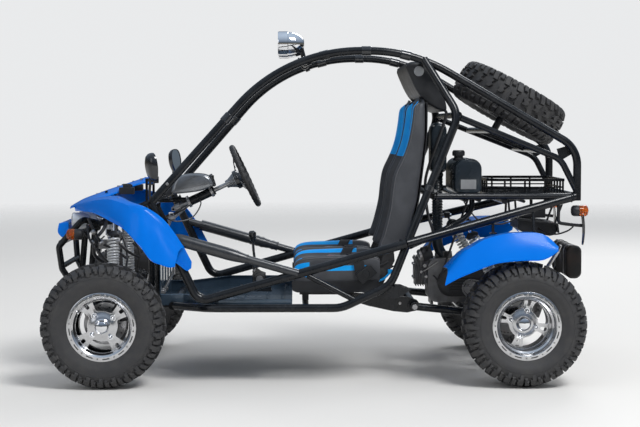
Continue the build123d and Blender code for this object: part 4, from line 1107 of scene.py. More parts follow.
def indicators():
    """Front and rear indicators: a black shell and a ribbed amber lens each."""
    dark, amber = Piece(), Piece()
    for side in (1, -1):
        # rear end, lens end, five shares of the way where shell and lens meet, number of ribs
        for a, b, (full, end, start, swell, rib), ribs in (
            (Vector((1036, side * 301.3, 627)), Vector((1110, side * 301.3, 627)),
             (0.46, 0.52, 0.5, 0.58, 0.62), 3),
            (Vector((-1102, side * 370, 733)), Vector((-1176, side * 370, 733)),
             (0.42, 0.46, 0.44, 0.5, 0.54), 4),
        ):
            dark.add(along_line(a, b, [(0, 0.1), (0, 14), (0.04, 20), (0.12, 23.5), (full, 24.6), (end, 23),
                                       (end, 0.1)]))
            amber.add(along_line(a, b, [(start, 0.1), (start, 24), (swell, 24.6), (0.86, 24.2), (0.95, 19),
                                        (1, 8), (1, 0.1)]))
            for k in range(ribs):
                share = rib + 0.09 * k
                amber.add(along_line(a.lerp(b, share), a.lerp(b, share + 0.02),
                                     [(0, 24), (0.5, 25), (1, 24)]))
        dark.add(box((1040, 1056), span(side, 262, 290), (620, 634)))
    dark.make("indicator_shells", ["plastic"], "panel_black", instead="indicators", sharp=40)
    amber.make("indicator_lenses", ["amber"], "indicator_amber", sharp=50)


def mirror_ring(scale_y, scale_z, x):
    """Drop-shaped section of a mirror housing, facing X."""
    ring = []
    for turn in around(40):
        y = 44 * math.copysign(abs(math.cos(turn)) ** 0.7, math.cos(turn)) * scale_y
        z = 61 * math.copysign(abs(math.sin(turn)) ** 0.75, math.sin(turn)) * scale_z
        ring.append(Vector((x, y * (1 - 0.38 * max(0, -z) / 61), z)))
    return ring


def door_mirrors():
    """Drop-shaped mirror housings on thin stalks with their glass facing back."""
    shell, glass, stalk = Piece(), Piece(), Piece()
    turn = (Matrix.Translation((709, 612, 928)) @ Matrix.Rotation(math.radians(27), 4, "Z")
            @ Matrix.Rotation(math.radians(8), 4, "Y"))
    rings = [mirror_ring(*row) for row in ((0.3, 0.3, 16.5), (0.62, 0.62, 14), (0.84, 0.84, 8),
                                           (0.96, 0.96, -1), (1, 1, -10), (1, 1, -16), (0.93, 0.95, -16.5),
                                           (0.91, 0.93, -12))]
    both_sides(shell, placed(loft(rings), turn))
    both_sides(glass, placed(loft([mirror_ring(0.91, 0.93, x) for x in (-13, -14)]), turn))
    both_sides(stalk, hose([(715, 560, 790), (715, 578, 790), (715, 600, 830), (711, 607, 868),
                            (709, 609, 884)],
                           5.8, 14, 6))
    both_sides(stalk, ball((710, 608, 876), 9))
    shell.make("mirror_housings", ["gloss"], "mirror_black", instead="mirrors", sharp=50)
    glass.make("mirror_glasses", ["mirror"], "mirror_black")
    stalk.make("mirror_stalks", ["plastic"], "mirror_black", sharp=50)


def rear_panel():
    """Moulded panel above the seat backs, hollow towards the seats, with a round patch at each end."""
    outline = [(-383, 1376), (-400, 1312), (-436, 1243), (-478, 1200), (-530, 1172), (-556, 1168),
               (-560, 1190), (-545, 1235), (-500, 1316), (-462, 1380)]
    line = [(v.x, v.z) for v in smooth_line([(x, 0, z) for x, z in outline], 3, closed=True)]
    half = [(325, 0.86), (322, 0.94), (312, 0.99), (290, 1), (100, 1)]
    stations = [(-y, grow) for y, grow in half] + half[::-1]
    panel = Piece().add(pillow(line, (-482, 1272), stations))
    panel.make("rear_panel_shell", ["plastic"], "panel_black", instead="rear_panel", sharp=50)
    trim = Piece()
    for side in (1, -1):
        trim.add(along_line((-437, side * 324, 1342), (-437, side * 331, 1342),
                            [(0, 22), (0.5, 22), (0.9, 19), (1, 12), (1, 0.1)]))
    trim.make("rear_panel_patches", ["grey"], "panel_black")


def soft_case(line, low, high, edge, share=0.86):
    """Moulded case of an outline in X and Z, its two ends across the car rounded off."""
    centre = [sum(point[axis] for point in line) / len(line) for axis in (0, 1)]
    stations = []
    for k in range(7):
        turn = math.radians(15 * k)
        stations.append((low + edge * (1 - math.cos(turn)), share + (1 - share) * math.sin(turn)))
    stations += [(low + high - y, grow) for y, grow in reversed(stations)]
    return pillow(line, centre, stations)


def tank_and_air():
    """Fuel tank with cap, bare label and raised bands; air box with a corrugated hose and clamps."""
    plan = rounded_outline((-717, -592), (804, 959), 26, 46)
    tank = Piece().add(soft_case(plan, -69, 329, 34))
    for y in (40, 220):
        tank.add(prism([(x * 1.006 + 3.9, z * 1.003 - 2.6) for x, z in plan], y - 12, y + 12))
    tank.make("tank_shell", ["tank"], "tank_black", instead="fuel_tank", sharp=42)
    neck = [(0, 24), (0.2, 24), (0.24, 20), (0.45, 20), (0.46, 26), (0.5, 27), (0.9, 26), (1, 23), (1, 0.1)]
    cap = Piece().add(along_line((-620, 250, 950), (-620, 250, 996), neck, 48))
    for turn in around(18):
        x, y = -620 + 26.5 * math.cos(turn), 250 + 26.5 * math.sin(turn)
        cap.add(rod((x, y, 974), (x, y, 990), 1.6, 6))
    cap.make("tank_cap", ["plastic"], "tank_black", bevel=0.4)
    label = Piece().add(box((-690, -622), (328.4, 329.9), (826, 868)))
    label.make("tank_plate", ["grey"], "tank_black", bevel=0.5)

    air = Piece().add(soft_case(rounded_outline((-587, -513), (891, 1119), 22, 34), -69, 69, 26))
    air.add(soft_case(rounded_outline((-580, -520), (960, 1060), 10), 62, 69.5, 3, 0.95))
    steps = 46
    profile = [(k / steps, 25.6 if k % 2 else 22.4) for k in range(steps + 1)]
    air.add(along_line((-550, 0, 892), (-550, 0, 592), profile, 36))
    air.add(hose([(-550, 0, 592), (-552, 0, 560), (-562, 0, 532), (-578, 0, 503)], 24, 24))
    air.make("air_box_shell", ["tank"], "tank_black", instead="air_box", sharp=42)
    clamps = Piece()
    for z in (880, 604):
        clamps.add(along_line((-550, 0, z - 5), (-550, 0, z + 5), [(0, 24), (0, 27), (1, 27), (1, 24)], 36))
        clamps.add(box((-536, -520), (20, 30), (z - 5, z + 5)))
    for x, z in ((-575, 905), (-525, 905), (-575, 1104), (-525, 1104)):
        clamps.add(hexagon((x, 58, z), (0, 1, 0), 5, 10))
    clamps.make("air_clamps", ["steel"], "steel", bevel=0.4)


def engine():
    """Engine: crankcase, ribbed belt case, fan shroud with spokes, finned head, carburettor and starter."""
    cast, black, bright = Piece(), Piece(), Piece()
    for piece, x, y, z, radius in (
        (cast, (-760, -500), (-70, 90), (301, 500), 40), (cast, (-776, -544), (90, 120), (334, 457), 58),
        (black, (-780, -540), (120, 128), (331, 460), 60), (black, (-770, -550), (128, 138), (341, 450), 52),
        (cast, (-470, -440), (-30, 50), (400, 480), 12),
    ):
        piece.add(prism(rounded_outline(x, z, radius, steps=6), *y))
    for x in (-735, -690, -640, -590, -545):
        cast.add(box((x - 3, x + 3), (-72, 92), (306, 318)))
    for z in (356, 368, 381, 394, 406, 419):
        black.add(box((-706, -598), (137, 143), (z - 3, z + 3)))
    for turn in around(10):
        x = -660 + 104 * math.copysign(abs(math.cos(turn)) ** 0.7, math.cos(turn))
        bright.add(hexagon((x, 126, 395 + 50 * math.sin(turn)), (0, 1, 0), 5, 9))
    # fan shroud on the far side
    black.add(along_line((-590, -72, 430), (-590, -150, 430),
                         [(0, 70), (0.2, 75), (0.85, 75), (0.97, 70), (1, 62), (1, 56), (0.8, 54),
                          (0.8, 0.1)], 64))
    hub = Vector((-590, 0, 430))
    for turn in around(16):
        black.add(rod(polar(20, turn, -143, hub), polar(57, turn, -143, hub), 2.2, 8))
    black.add(along_line((-590, -134, 430), (-590, -148, 430), [(0, 22), (0.8, 22), (1, 18), (1, 0.1)]))
    # finned head with its spark plug
    cast.add(box((-520, -446), (-45, 65), (385, 495)))
    for k in range(6):
        x = -504 + 11 * k
        cast.add(box((x, x + 3.4), (-59, 79), (373, 507)))
    for y, z in ((-20, 410), (40, 410), (-20, 470), (40, 470)):
        bright.add(hexagon((-442, y, z), (1, 0, 0), 6, 8))
    bright.add(rod((-480, -52, 455), (-462, -92, 478), 7, 12))
    black.add(rod((-462, -92, 478), (-452, -112, 492), 10, 16))
    # carburettor and its bowl under the air hose
    cast.add(rod((-578, 0, 498), (-578, 0, 528), 24, 28))
    cast.add(rod((-540, 0, 505), (-618, 0, 505), 17, 24))
    cast.add(rod((-600, 30, 500), (-600, 30, 530), 15, 24))
    # starter motor and mount plates
    bright.add(along_line((-700, -66, 520), (-700, 60, 520),
                          [(0, 18), (0.02, 22), (0.9, 22), (0.95, 14), (1, 12)], 36))
    for x in (-745, -520):
        black.add(box((x - 5, x + 5), (-66, 86), (288, 312)))
    cast.make("engine_castings", ["cast"], "engine_grey", instead="engine", bevel=1.5, sharp=32)
    black.make("engine_covers", ["black_cast"], "engine_grey", bevel=1.2, sharp=32)
    bright.make("engine_bolts", ["steel"], "steel", bevel=0.5)


def exhaust():
    """Muffler with folded seams, end caps, a tail pipe and a bent header with flanges."""
    line = rounded_outline((-1158, -1090), (432, 576), 28)
    cx, cz = -1124, 504
    can = Piece().add(pillow(line, (cx, cz), (
        (-60, 0.72), (-58, 0.9), (-50, 0.985), (-46, 1.02), (-41, 1.02), (-40, 0.985), (60, 0.985), (61, 1.0),
        (64, 1.0), (65, 0.985), (200, 0.985), (201, 1.0), (204, 1.0), (205, 0.985), (310, 0.985), (311, 1.02),
        (316, 1.02), (320, 0.985), (328, 0.9), (330, 0.72))))
    can.add(hose([(-740, 10, 420), (-800, 10, 408), (-860, 10, 388), (-940, 10, 360), (-1000, 11, 347),
                  (-1050, 22, 368), (-1085, 40, 420), (-1108, 58, 466)], 16.5, 28))
    can.add(along_line((-745, 10, 421), (-757, 10, 424), [(0, 17), (0, 30), (1, 30), (1, 17)], 32))
    can.add(along_line((-1125, -50, 470), (-1125, -60, 470), [(0, 16), (1, 16), (1, 13), (0, 13)], 28))
    can.make("exhaust_shell", ["exhaust"], "exhaust_black", instead="exhaust", sharp=36)
    strap = Piece()
    band = [(cx + (x - cx) * 1.012, cz + (z - cz) * 1.008) for x, z in line]
    for y in (30, 250):
        strap.add(prism(band, y - 9, y + 9))
        strap.add(hexagon((-1100, y, 578), (0, 0, 1), 6, 6))
    strap.make("exhaust_straps", ["steel"], "exhaust_black", sharp=36)


def surface_of(name):
    """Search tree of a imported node's faces, in millimetres."""
    obj = nodes[name]
    verts = [obj.matrix_world @ v.co / MM for v in obj.data.vertices]
    return BVHTree.FromPolygons(verts, [tuple(face.vertices) for face in obj.data.polygons])


def look_down(tree, x, y):
    """Highest point of the searched surface at a place, or None."""
    return tree.ray_cast(Vector((x, y, 1600)), Vector((0, 0, -1)))[0]


def tube_from_above(tree, x, y, radius=TUBE_R):
    """Centre and direction of a tube that runs along X, found by looking down on it."""
    low, high = look_down(tree, x - 7, y), look_down(tree, x + 7, y)
    along = (high - low).normalized()
    lift = along.cross(LEFT).normalized()
    if lift.z < 0:
        lift.negate()
    return (low + high) / 2 - lift * radius, along


def bead(place, along, radius, thick=2.6):
    """Weld bead round a tube's end."""
    along = Vector(along).normalized()
    side = along.orthogonal().normalized()
    up = along.cross(side)
    line = [Vector(place) + (side * math.cos(turn) + up * math.sin(turn)) * radius for turn in around(28)]
    return sweep(line, thick, 6, closed=True)


def sleeve(start, end, radius, lip=2.0):
    """Clamp sleeve with rounded ends."""
    length = (Vector(end) - Vector(start)).length
    soft = lip / length
    profile = [(0, radius - lip), (soft, radius), (1 - soft, radius), (1, radius - lip)]
    return along_line(start, end, profile, 32)


def frame_details():
    """Clamps, sleeves, bolts, gussets and weld beads on the tubes."""
    sleeves, bolts, beads, plates = Piece(), Piece(), Piece(), Piece()
    roof, stays = surface_of("roof_rails"), surface_of("rear_stays")
    for span_x in ((5, -40), (-183, -226), (-356, -402)):
        for y in (RAIL_Y, -RAIL_Y):
            ends = []
            for x in span_x:
                tree = roof if look_down(roof, x - 8, y) else stays
                if look_down(tree, x - 7, y):
                    ends.append(tube_from_above(tree, x, y)[0])
            if len(ends) == 2:
                sleeves.add(sleeve(*ends, SLEEVE_R))
    pillar_knee, pillar_foot = Vector((-596, 478, 1150)), Vector((-300, 570, 428))
    a_foot, a_top = Vector((715, 560, 775)), Vector((138, 370, 1428))
    pillar = (pillar_foot - pillar_knee).normalized()
    rail = (a_top - a_foot).normalized()
    for side in (1, -1):
        def at(v, side=side):
            return Vector((v[0], v[1] * side, v[2]))
        # clamp on the pillar: a sleeve with an ear and its bolt
        centre, along = at(pillar_knee + pillar * 342), at(pillar)
        sleeves.add(sleeve(centre - along * 13, centre + along * 13, SLEEVE_R))
        ear = along.cross(LEFT).normalized()
        if ear.x > 0:
            ear.negate()
        sleeves.add(rod(centre + ear * (TUBE_R - 2), centre + ear * (TUBE_R + 17), 6.5, 12))
        spot = centre + ear * (TUBE_R + 10)
        for y in (6, -12):
            bolts.add(hexagon(spot + LEFT * y, LEFT, 6, 6))
        bolts.add(hexagon(at(a_foot + rail * 108 + Vector((0, 15, 3))), (0, side, 0.15), 7, 8))
        sleeves.add(sleeve(at(a_foot + rail * 470), at(a_foot + rail * 512), SLEEVE_R))
        centre, along = tube_from_above(roof, 56, side * RAIL_Y)
        sleeves.add(sleeve(centre - along * 11, centre + along * 11, SLEEVE_R))
        bolts.add(hexagon(centre + LEFT * side * 19, LEFT * side, 7, 6))
        for place, way, radius in (
            ((-347, 566, 604), (-1, -0.26, 0.255), 19.5), ((493, 563, 374), (-1, 0.05, 0.4), 17.8),
            ((-1097, 374, 791), (-1, -0.27, 0.26), 19.5), ((-497, 501, 802), (-1, -0.2, 0), 17.8),
            ((-1104, 374, 796), (1, 0.2, 0), 17.8), ((-596, 472, 1136), (-1, -0.2, -0.4), 14.5),
            ((636, 561, 632), (-1, 0.01, -0.28), 17.8), ((112, 569, 484), (1, 0, 0.28), 14.5),
            ((-300, 569, 430), (0.4, -0.13, -1), 18.2), ((640, 552, 800), (-0.7, -0.2, 0.8), 18.2),
        ):
            beads.add(bead(at(place), at(way), radius))
        for outline, low, high in (
            ([(-1036, 1003), (-1080, 1016), (-1112, 986), (-1052, 950)], 362, 367),
            ([(-392, 408), (-300, 438), (-262, 372), (-330, 372)], 556, 561),
            ([(640, 690), (668, 700), (690, 748), (676, 768)], 553, 558),
        ):
            plates.add(prism(outline, *span(side, low, high)))
    sleeves.make("frame_sleeves", ["gloss"], "frame_black", bevel=0.8)
    bolts.make("frame_bolts", ["steel"], "steel", bevel=0.6)
    beads.make("weld_beads", ["frame"], "frame_black")
    plates.make("frame_gussets", ["frame"], "frame_black", bevel=0.8)


def knee_pads():
    """Foam pads in glossy sleeves with tied ends on the upper side tubes; the right one ends in ribs."""
    shares = [k / 30 for k in range(31)]
    swollen = [(t, 18.6 + 8.0 * math.sin(math.pi / 2 * min(1, t / 0.1, (1 - t) / 0.3))) for t in shares]
    ribbed = []
    for k, t in enumerate(shares):
        ribs = 1.4 * math.cos(k * math.pi) if t > 0.62 else 0
        ribbed.append((t, 26.0 + ribs - (4 if t > 0.86 else 0)))
    for (side, label), low, high, profile in zip(SIDES, (0.05, 0.13), (0.62, 0.82), (swollen, ribbed)):
        start, end = Vector((646, side * 562, 635)), Vector((92, side * 570, 478))
        along = end - start
        pad = Piece()
        pad.add(along_line(start + along * low, start + along * high, [(0, 18), *profile, (1, 18)]))
        pad.add(rod(start + along * 0.001, start + along * 0.999, TUBE_R, 32))
        for share in (low + 0.012, high - 0.012):
            spot, half = start + along * share, along.normalized() * 5
            pad.add(sleeve(spot - half, spot + half, SLEEVE_R))
        pad.make(f"knee_pad_{label}", ["pad"], "foam_black", instead="knee_bars")


def disc_hole_shade(piece, count, y, depth, centre):
    """Dark plugs of painted shade where a brake disc's drilled holes would be, on three circles; the disc
    itself has no holes.
    """
    for k, turn in enumerate(around(count)):
        spot = polar(62 + 9 * (k % 3), turn, y, centre)
        piece.add(rod(spot, spot + Vector((0, depth, 0)), 3, 8), mark=1)


def front_brakes():
    """Front discs, calipers, kingpins and hoses."""
    x, z = FRONT_AXLE.x, FRONT_AXLE.z
    for side, label in SIDES:
        profile = [(541, 34), (541, 90), (545, 90), (545, 40), (566, 38), (566, 34)]
        disc = Piece().add(lathe([(side * y, r) for y, r in profile], 64),
                           place=Matrix.Translation(FRONT_AXLE))
        # dark plugs: painted shade in place of the disc's drilled holes
        disc_hole_shade(disc, 24, side * 540.6, side * 4.9, FRONT_AXLE)
        disc.make(f"disc_front_{label}", ["steel", "gloss"], "steel", f"wheel_front_{label}")
        caliper = Piece()
        jaw = arc(x, z, 106, 118, 172) + arc(x, z, 66, 172, 118)
        bridge = arc(x, z, 108, 126, 164) + arc(x, z, 95, 164, 126)
        for outline, low, high in ((jaw, 528, 539), (jaw, 547, 560), (bridge, 530, 558),
                                   ([(905, 270), (925, 300), (850, 345), (838, 300)], 512, 528)):
            caliper.add(prism(outline, *span(side, low, high)))
        caliper.make(f"caliper_{label}", ["black_cast"], "engine_grey", f"knuckle_{label}", bevel=1.2)
        joints = Piece()
        for nut, cap in ((178, 322), (344, 194)):
            joints.add(hexagon((x, side * 500, nut), (0, 0, 1), 9, 7))
            joints.add(rod((x, side * 500, cap), (x, side * 500, cap + 12), 20, 24), mark=1)
        joints.make(f"kingpin_{label}", ["steel", "wire"], "steel", f"knuckle_{label}", bevel=0.5)
        line = Piece().add(hose([(905, side * 470, 352), (880, side * 430, 380), (868, side * 350, 420),
                                 (850, side * 260, 500), (862, side * 190, 560), (880, side * 168, 610)], 4.5,
                                10))
        line.make(f"hose_{label}", ["wire"], "control_black")


def axle_parts():
    """Rear axle with its hubs, toothed sprocket and drilled disc; the disc's caliper."""
    axle = Piece()
    axle.add(rod((-867, -575, 264), (-867, 575, 264), 15, 40))
    for low, high, inner, outer, soft in ((140, 166, 26, 31.5, 0.08), (-214, -190, 26, 31.5, 0.08),
                                          (390, 505, 22, 27.5, 0.05), (-505, -390, 26, 31.5, 0.08)):
        axle.add(along_line((-867, low, 264), (-867, high, 264),
                            [(0, inner), (soft, outer), (1 - soft, outer), (1, inner)]))
    teeth, outline = 38, []
    for k in range(teeth):
        for share, radius in ((0.0, 94), (0.28, 94), (0.42, 99.5), (0.58, 99.5), (0.72, 94)):
            spot = polar(radius, 2 * math.pi * (k + share) / teeth, 0, REAR_AXLE)
            outline.append((spot.x, spot.z))
    axle.add(prism(outline, 150.5, 155.5))
    axle.add(lathe([(-204, 31), (-204, 94.5), (-200, 94.5), (-200, 31)], 64),
             place=Matrix.Translation(REAR_AXLE))
    for turn in around(6):
        for y in (156, -199):
            axle.add(hexagon(polar(43.2, turn, y, REAR_AXLE), (0, 1, 0), 5.5, 5))
    # dark plugs: painted shade in place of the rear disc's drilled holes
    disc_hole_shade(axle, 30, -204.4, 4.8, REAR_AXLE)
    axle.make("axle_parts", ["steel", "gloss"], "steel", "rear_axle", "rear_axle", bevel=0.4)
    caliper = Piece()
    caliper.add(box((-905, -830), (-222, -206), (345, 372)))
    caliper.add(box((-905, -830), (-198, -182), (345, 372)))
    caliper.add(box((-900, -835), (-222, -182), (364, 378)))
    caliper.add(rod((-867, -190, 378), (-700, -120, 420), 5, 10))
    caliper.make("caliper_rear", ["black_cast"], "engine_grey", bevel=1.5)


def drive_chain():
    """Roller chain round the axle's and the engine's sprockets."""
    big, small = Vector((-867, 153, 264)), Vector((-690, 153, 372))
    big_r, small_r, pitch = 103, 38, 12.7
    lean = math.asin((big_r - small_r) / (small - big).length)
    face = math.atan2(small.z - big.z, small.x - big.x)
    wrap = math.pi - 2 * lean
    route = [polar(big_r, face + math.pi / 2 - lean + (2 * math.pi - wrap) * k / 39, 0,
                   big) for k in range(40)]
    route += [polar(small_r, face - math.pi / 2 + lean + wrap * k / 19, 0, small) for k in range(20)]
    ring = route + [route[0]]
    lengths = [0.0]
    for one, two in zip(ring, ring[1:]):
        lengths.append(lengths[-1] + (two - one).length)
    links = int(lengths[-1] / pitch)
    spots, at = [], 0
    for k in range(links):
        goal = lengths[-1] * k / links
        while lengths[at + 1] < goal:
            at += 1
        t = (goal - lengths[at]) / (lengths[at + 1] - lengths[at])
        spots.append(ring[at].lerp(ring[at + 1], t))
    chain = Piece()
    for k, spot in enumerate(spots):
        chain.add(rod(spot - LEFT * 6, spot + LEFT * 6, 3.4, 8))
        after = spots[(k + 1) % links]
        along = (after - spot).normalized()
        out = along.cross(LEFT)
        wide = 5.6 if k % 2 else 4.4
        for y in (-wide, wide):
            section = ((-3.4, y - 0.6), (-3.4, y + 0.6), (3.4, y + 0.6), (3.4, y - 0.6))
            chain.add(loft([[end + out * lift + Vector((0, dy, 0)) for lift, dy in section]
                            for end in (spot - along * 3, after + along * 3)]))
    chain.add(rod((-690, 139, 372), (-690, 158, 372), 12, 24))
    chain.add(rod((-690, 150, 372), (-690, 156, 372), 32, 32))
    chain.make("drive_chain", ["steel"], "steel")


# Cables and small hoses behind the seats and in the nose: points, radius, sides
CABLES = (
    ([(-552, 300, 1172), (-559, 300, 1146), (-520, 300, 1030), (-481, 300, 917), (-468, 300, 840),
      (-478, 320, 720), (-500, 330, 640), (-496, 250, 585), (-494, 130, 545)], 6.5, 12),
    ([(-980, 64, 700), (-1000, 130, 640), (-1050, 220, 620), (-1095, 310, 640), (-1120, 350, 668)], 3.5, 8),
    ([(-930, 64, 700), (-860, 160, 672), (-790, 260, 668), (-700, 330, 690), (-640, 300, 770)], 3.5, 8),
    ([(548, 262, 800), (520, 286, 762), (560, 320, 700), (640, 352, 690), (706, 372, 742)], 3, 8),
    ([(880, 160, 600), (930, 150, 560), (985, 158, 566), (1010, 170, 622), (1000, 150, 660)], 4, 8),
    ([(1046, 240, 640), (1020, 220, 600), (985, 180, 592), (960, 168, 610)], 3.5, 8),
)


def clutter():
    """Linkage rod, breather tube, coil, electrics tray, fender struts and cable runs."""
    tubes, dark, bright, thin = Piece(), Piece(), Piece(), Piece()
    tubes.add(hose([(-672, 322, 782), (-668, 335, 740), (-640, 348, 703), (-585, 366, 672), (-493, 410, 627),
                    (-385, 532, 590)], 12, 20))
    for points, radius, sides in CABLES:
        thin.add(hose(points, radius, sides))
    # three cables tied along the front tubes and under the dash
    for y, drop in ((236, 0), (258, 9), (214, -8)):
        thin.add(hose([(560, y, 772 - drop), (600, y + 12, 742 - drop), (640, y - 10, 716),
                       (690, y - 30, 690 + drop), (742, y - 60, 668), (760, 168, 640)], 3.6))
    for start, end, radius, sides in (
        ((-545, 146, 400), (-678, 146, 783), 5, 14), ((-545, 132, 400), (-545, 152, 400), 10, 20),
        ((-545, 138, 400), (-520, 146, 430), 4, 10),
    ):
        thin.add(rod(start, end, radius, sides))
    dark.add(along_line((-515, 112, 536), (-470, 112, 521),
                        [(0, 26), (0.1, 32), (0.9, 32), (1, 29), (1, 0.1)]))
    bright.add(along_line((-470, 112, 521), (-452, 112, 515),
                          [(0, 27), (0.6, 27), (1, 20), (1, 9), (1.1, 8), (1.1, 0.1)]))
    dark.add(box((-505, -488), (60, 112), (492, 508)))
    for x, z, r in ((-486, 468, 9), (-470, 440, 7), (-492, 418, 8)):
        bright.add(hexagon((x, 82, z), (0, 1, 0), r, 12))
    bright.add(rod((-480, 84, 442), (-545, 96, 486), 4, 10))
    # electrics tray under the rear rails
    dark.add(prism([(-892, 690), (-1084, 664), (-1090, 622), (-1084, 620), (-1078, 656), (-892, 682)], -150,
                   150))
    dark.add(box((-1040, -930), (-70, 60), (684, 726)))
    dark.add(prism([(-905, 684), (-1078, 659), (-1078, 612), (-1050, 606), (-930, 622), (-905, 640)], -128,
                   128))
    for y in (-110, 110):
        dark.add(rod((-1076, y, 664), (-1118, y, 782), 5, 12))
        dark.add(rod((-900, y, 686), (-892, y, 775), 5, 12))
    dark.add(rod((-892, -385, 775), (-892, 385, 775), 7, 16))
    for side in (1, -1):
        bright.add(rod((-873, side * 392, 306), (-1036, side * 432, 562), 8.5, 20))
        bright.add(rod((-1036, side * 432, 562), (-1044, side * 446, 588), 6, 16))
    bright.add(rod((592, 245, 742), (640, 240, 700), 8, 16))
    bright.add(rod((640, 240, 700), (664, 236, 690), 12, 20))
    tubes.make("breather_tube", ["frame"], "frame_black")
    dark.make("electrics", ["plastic"], "panel_black", bevel=1.5, sharp=35)
    bright.make("fender_struts", ["steel"], "steel", bevel=0.5)
    thin.make("cable_runs", ["wire"], "control_black")


def controls():
    """Gear lever with its housing, boot and pivot bolt; ribbed pedals."""
    lever, bits = Piece(), Piece()
    lever.add(box((213, 314), (-24, 24), (344, 352)))
    lever.add(prism([(216, 352), (310, 352), (300, 395), (292, 402), (228, 402), (216, 380)], -20, 20))
    lever.add(along_line((282, 0, 398), (292, 0, 470), [(0, 19), (0.2, 17), (0.25, 19), (0.45, 14), (0.5, 16),
                                                        (0.7, 11), (0.75, 13), (1, 7.5)], 28))
    stalk = smooth_line([(284, 0, 404), (289, 0, 470), (297, 0, 535), (300, 0, 582)], 6)
    lever.add(sweep(stalk, 6, 14))
    lever.add(along_line((298, 0, 570), (303, 0, 622), [(0, 8), (0.1, 12), (0.55, 17), (0.85, 17.5), (1, 11),
                                                        (1, 0.1)], 32))
    lever.add(along_line((268, 14, 400), (268, 27, 400), [(0, 33), (0.6, 33), (1, 30), (1, 0.1)], 40))
    lever.add(prism([(240, 384), (300, 384), (300, 452), (286, 458), (262, 440), (240, 432)], 20, 24))
    bits.add(hexagon((268, 26, 400), (0, 1, 0), 11, 9))
    bits.add(hexagon((292, 23, 442), (0, 1, 0), 6, 7))
    bits.add(rod((268, 27, 400), (268, 31, 400), 17, 28))
    lever.make("gear_lever_parts", ["gloss"], "control_black", instead="gear_lever", bevel=1.0, sharp=35)
    bits.make("gear_lever_bolts", ["steel"], "steel", bevel=0.5)

    pedals, pads = Piece(), Piece()
    pedals.add(rod((690, 122, 372), (690, 303, 372), 8, 20))
    for y in (160, 262):
        pedals.add(hose([(690, y, 372), (676, y, 400), (655, y, 440), (640, y, 472)], 6, 14, 4))
        pedals.add(rod((690, y - 14, 372), (690, y + 14, 372), 13, 24))
        pedals.add(box((634, 640), (y - 28, y + 28), (448, 500)))
        pads.add(box((630, 634), (y - 27, y + 27), (449, 499)))
        for k in range(6):
            pads.add(box((628, 631), (y - 25, y + 25), (452 + 8 * k, 456 + 8 * k)))
    pedals.make("pedal_arms", ["steel"], "steel", instead="pedals", bevel=1.0)
    pads.make("pedal_pads", ["grip"], "control_black", instead="pedals", bevel=0.6)


def tail_parts():
    """Bent posts with rubber flaps behind the rear lamps."""
    for side, label in SIDES:
        post = [(-1043, 390, 777), (-1043, 388, 730), (-1043, 386, 694), (-1049, 385, 682), (-1062, 384, 678),
                (-1110, 377, 672), (-1149, 370, 668)]
        arm = Piece().add(hose([(x, side * y, z) for x, y, z in post], 7.5, 18, 5))
        arm.make(f"tail_post_{label}", ["frame"], "frame_black", instead="tail_brackets")
        rings = []
        for k in range(13):
            t = k / 12
            x, y, z = -1150 - 7 * math.sin(math.pi * t * 0.9), side * 370, 722 - 138 * t
            half = 27 - 9 * t ** 2 - (6 if k in (0, 12) else 0)
            thick = 2.0 - 0.6 * t
            rings.append([Vector((x + dx, y + dy, z)) for dx, dy in
                          ((-thick, -half), (thick, -half), (thick, half), (-thick, half))])
        flap = Piece().add(loft(rings))
        flap.make(f"tail_flap_{label}", ["gloss"], "control_black", instead="tail_brackets", sharp=40)


def strap_line(tree, centre, side, reach):
    """Middle line of one belt half, from beside the cushion over its surface to the buckle."""
    middle = [Vector((-178, side * 224, 462)), Vector((-170, side * 222, 506)),
              Vector((-160, side * 219, 540))]
    for k in range(15):
        t = k / 14
        x, y = -152 + 84 * t, side * (206 + (reach - 206) * t)
        hit = tree.ray_cast(Vector((x, centre + y, 900)) * MM, Vector((0, 0, -1)))[0]
        middle.append(Vector((x, y, hit.z / MM + 3.2)))
    for k in range(4, len(middle) - 1):
        middle[k] = (middle[k - 1] + middle[k] * 2 + middle[k + 1]) / 4 + Vector((0, 0, 0.8))
    return smooth_line([v + Vector((0, centre, 0)) for v in middle], 3)


def buckle_block(end, along, start, stop, wide, low, high):
    """Block on a strap's end, between two distances past it."""
    across = (Vector((1, 0, 0)) - along * along.x).normalized()
    lift = across.cross(along)
    if lift.z < 0:
        lift.negate()
    section = ((-wide, low), (wide, low), (wide, high), (-wide, high))
    return loft([[end + along * far + across * c + lift * h for c, h in section] for far in (start, stop)])


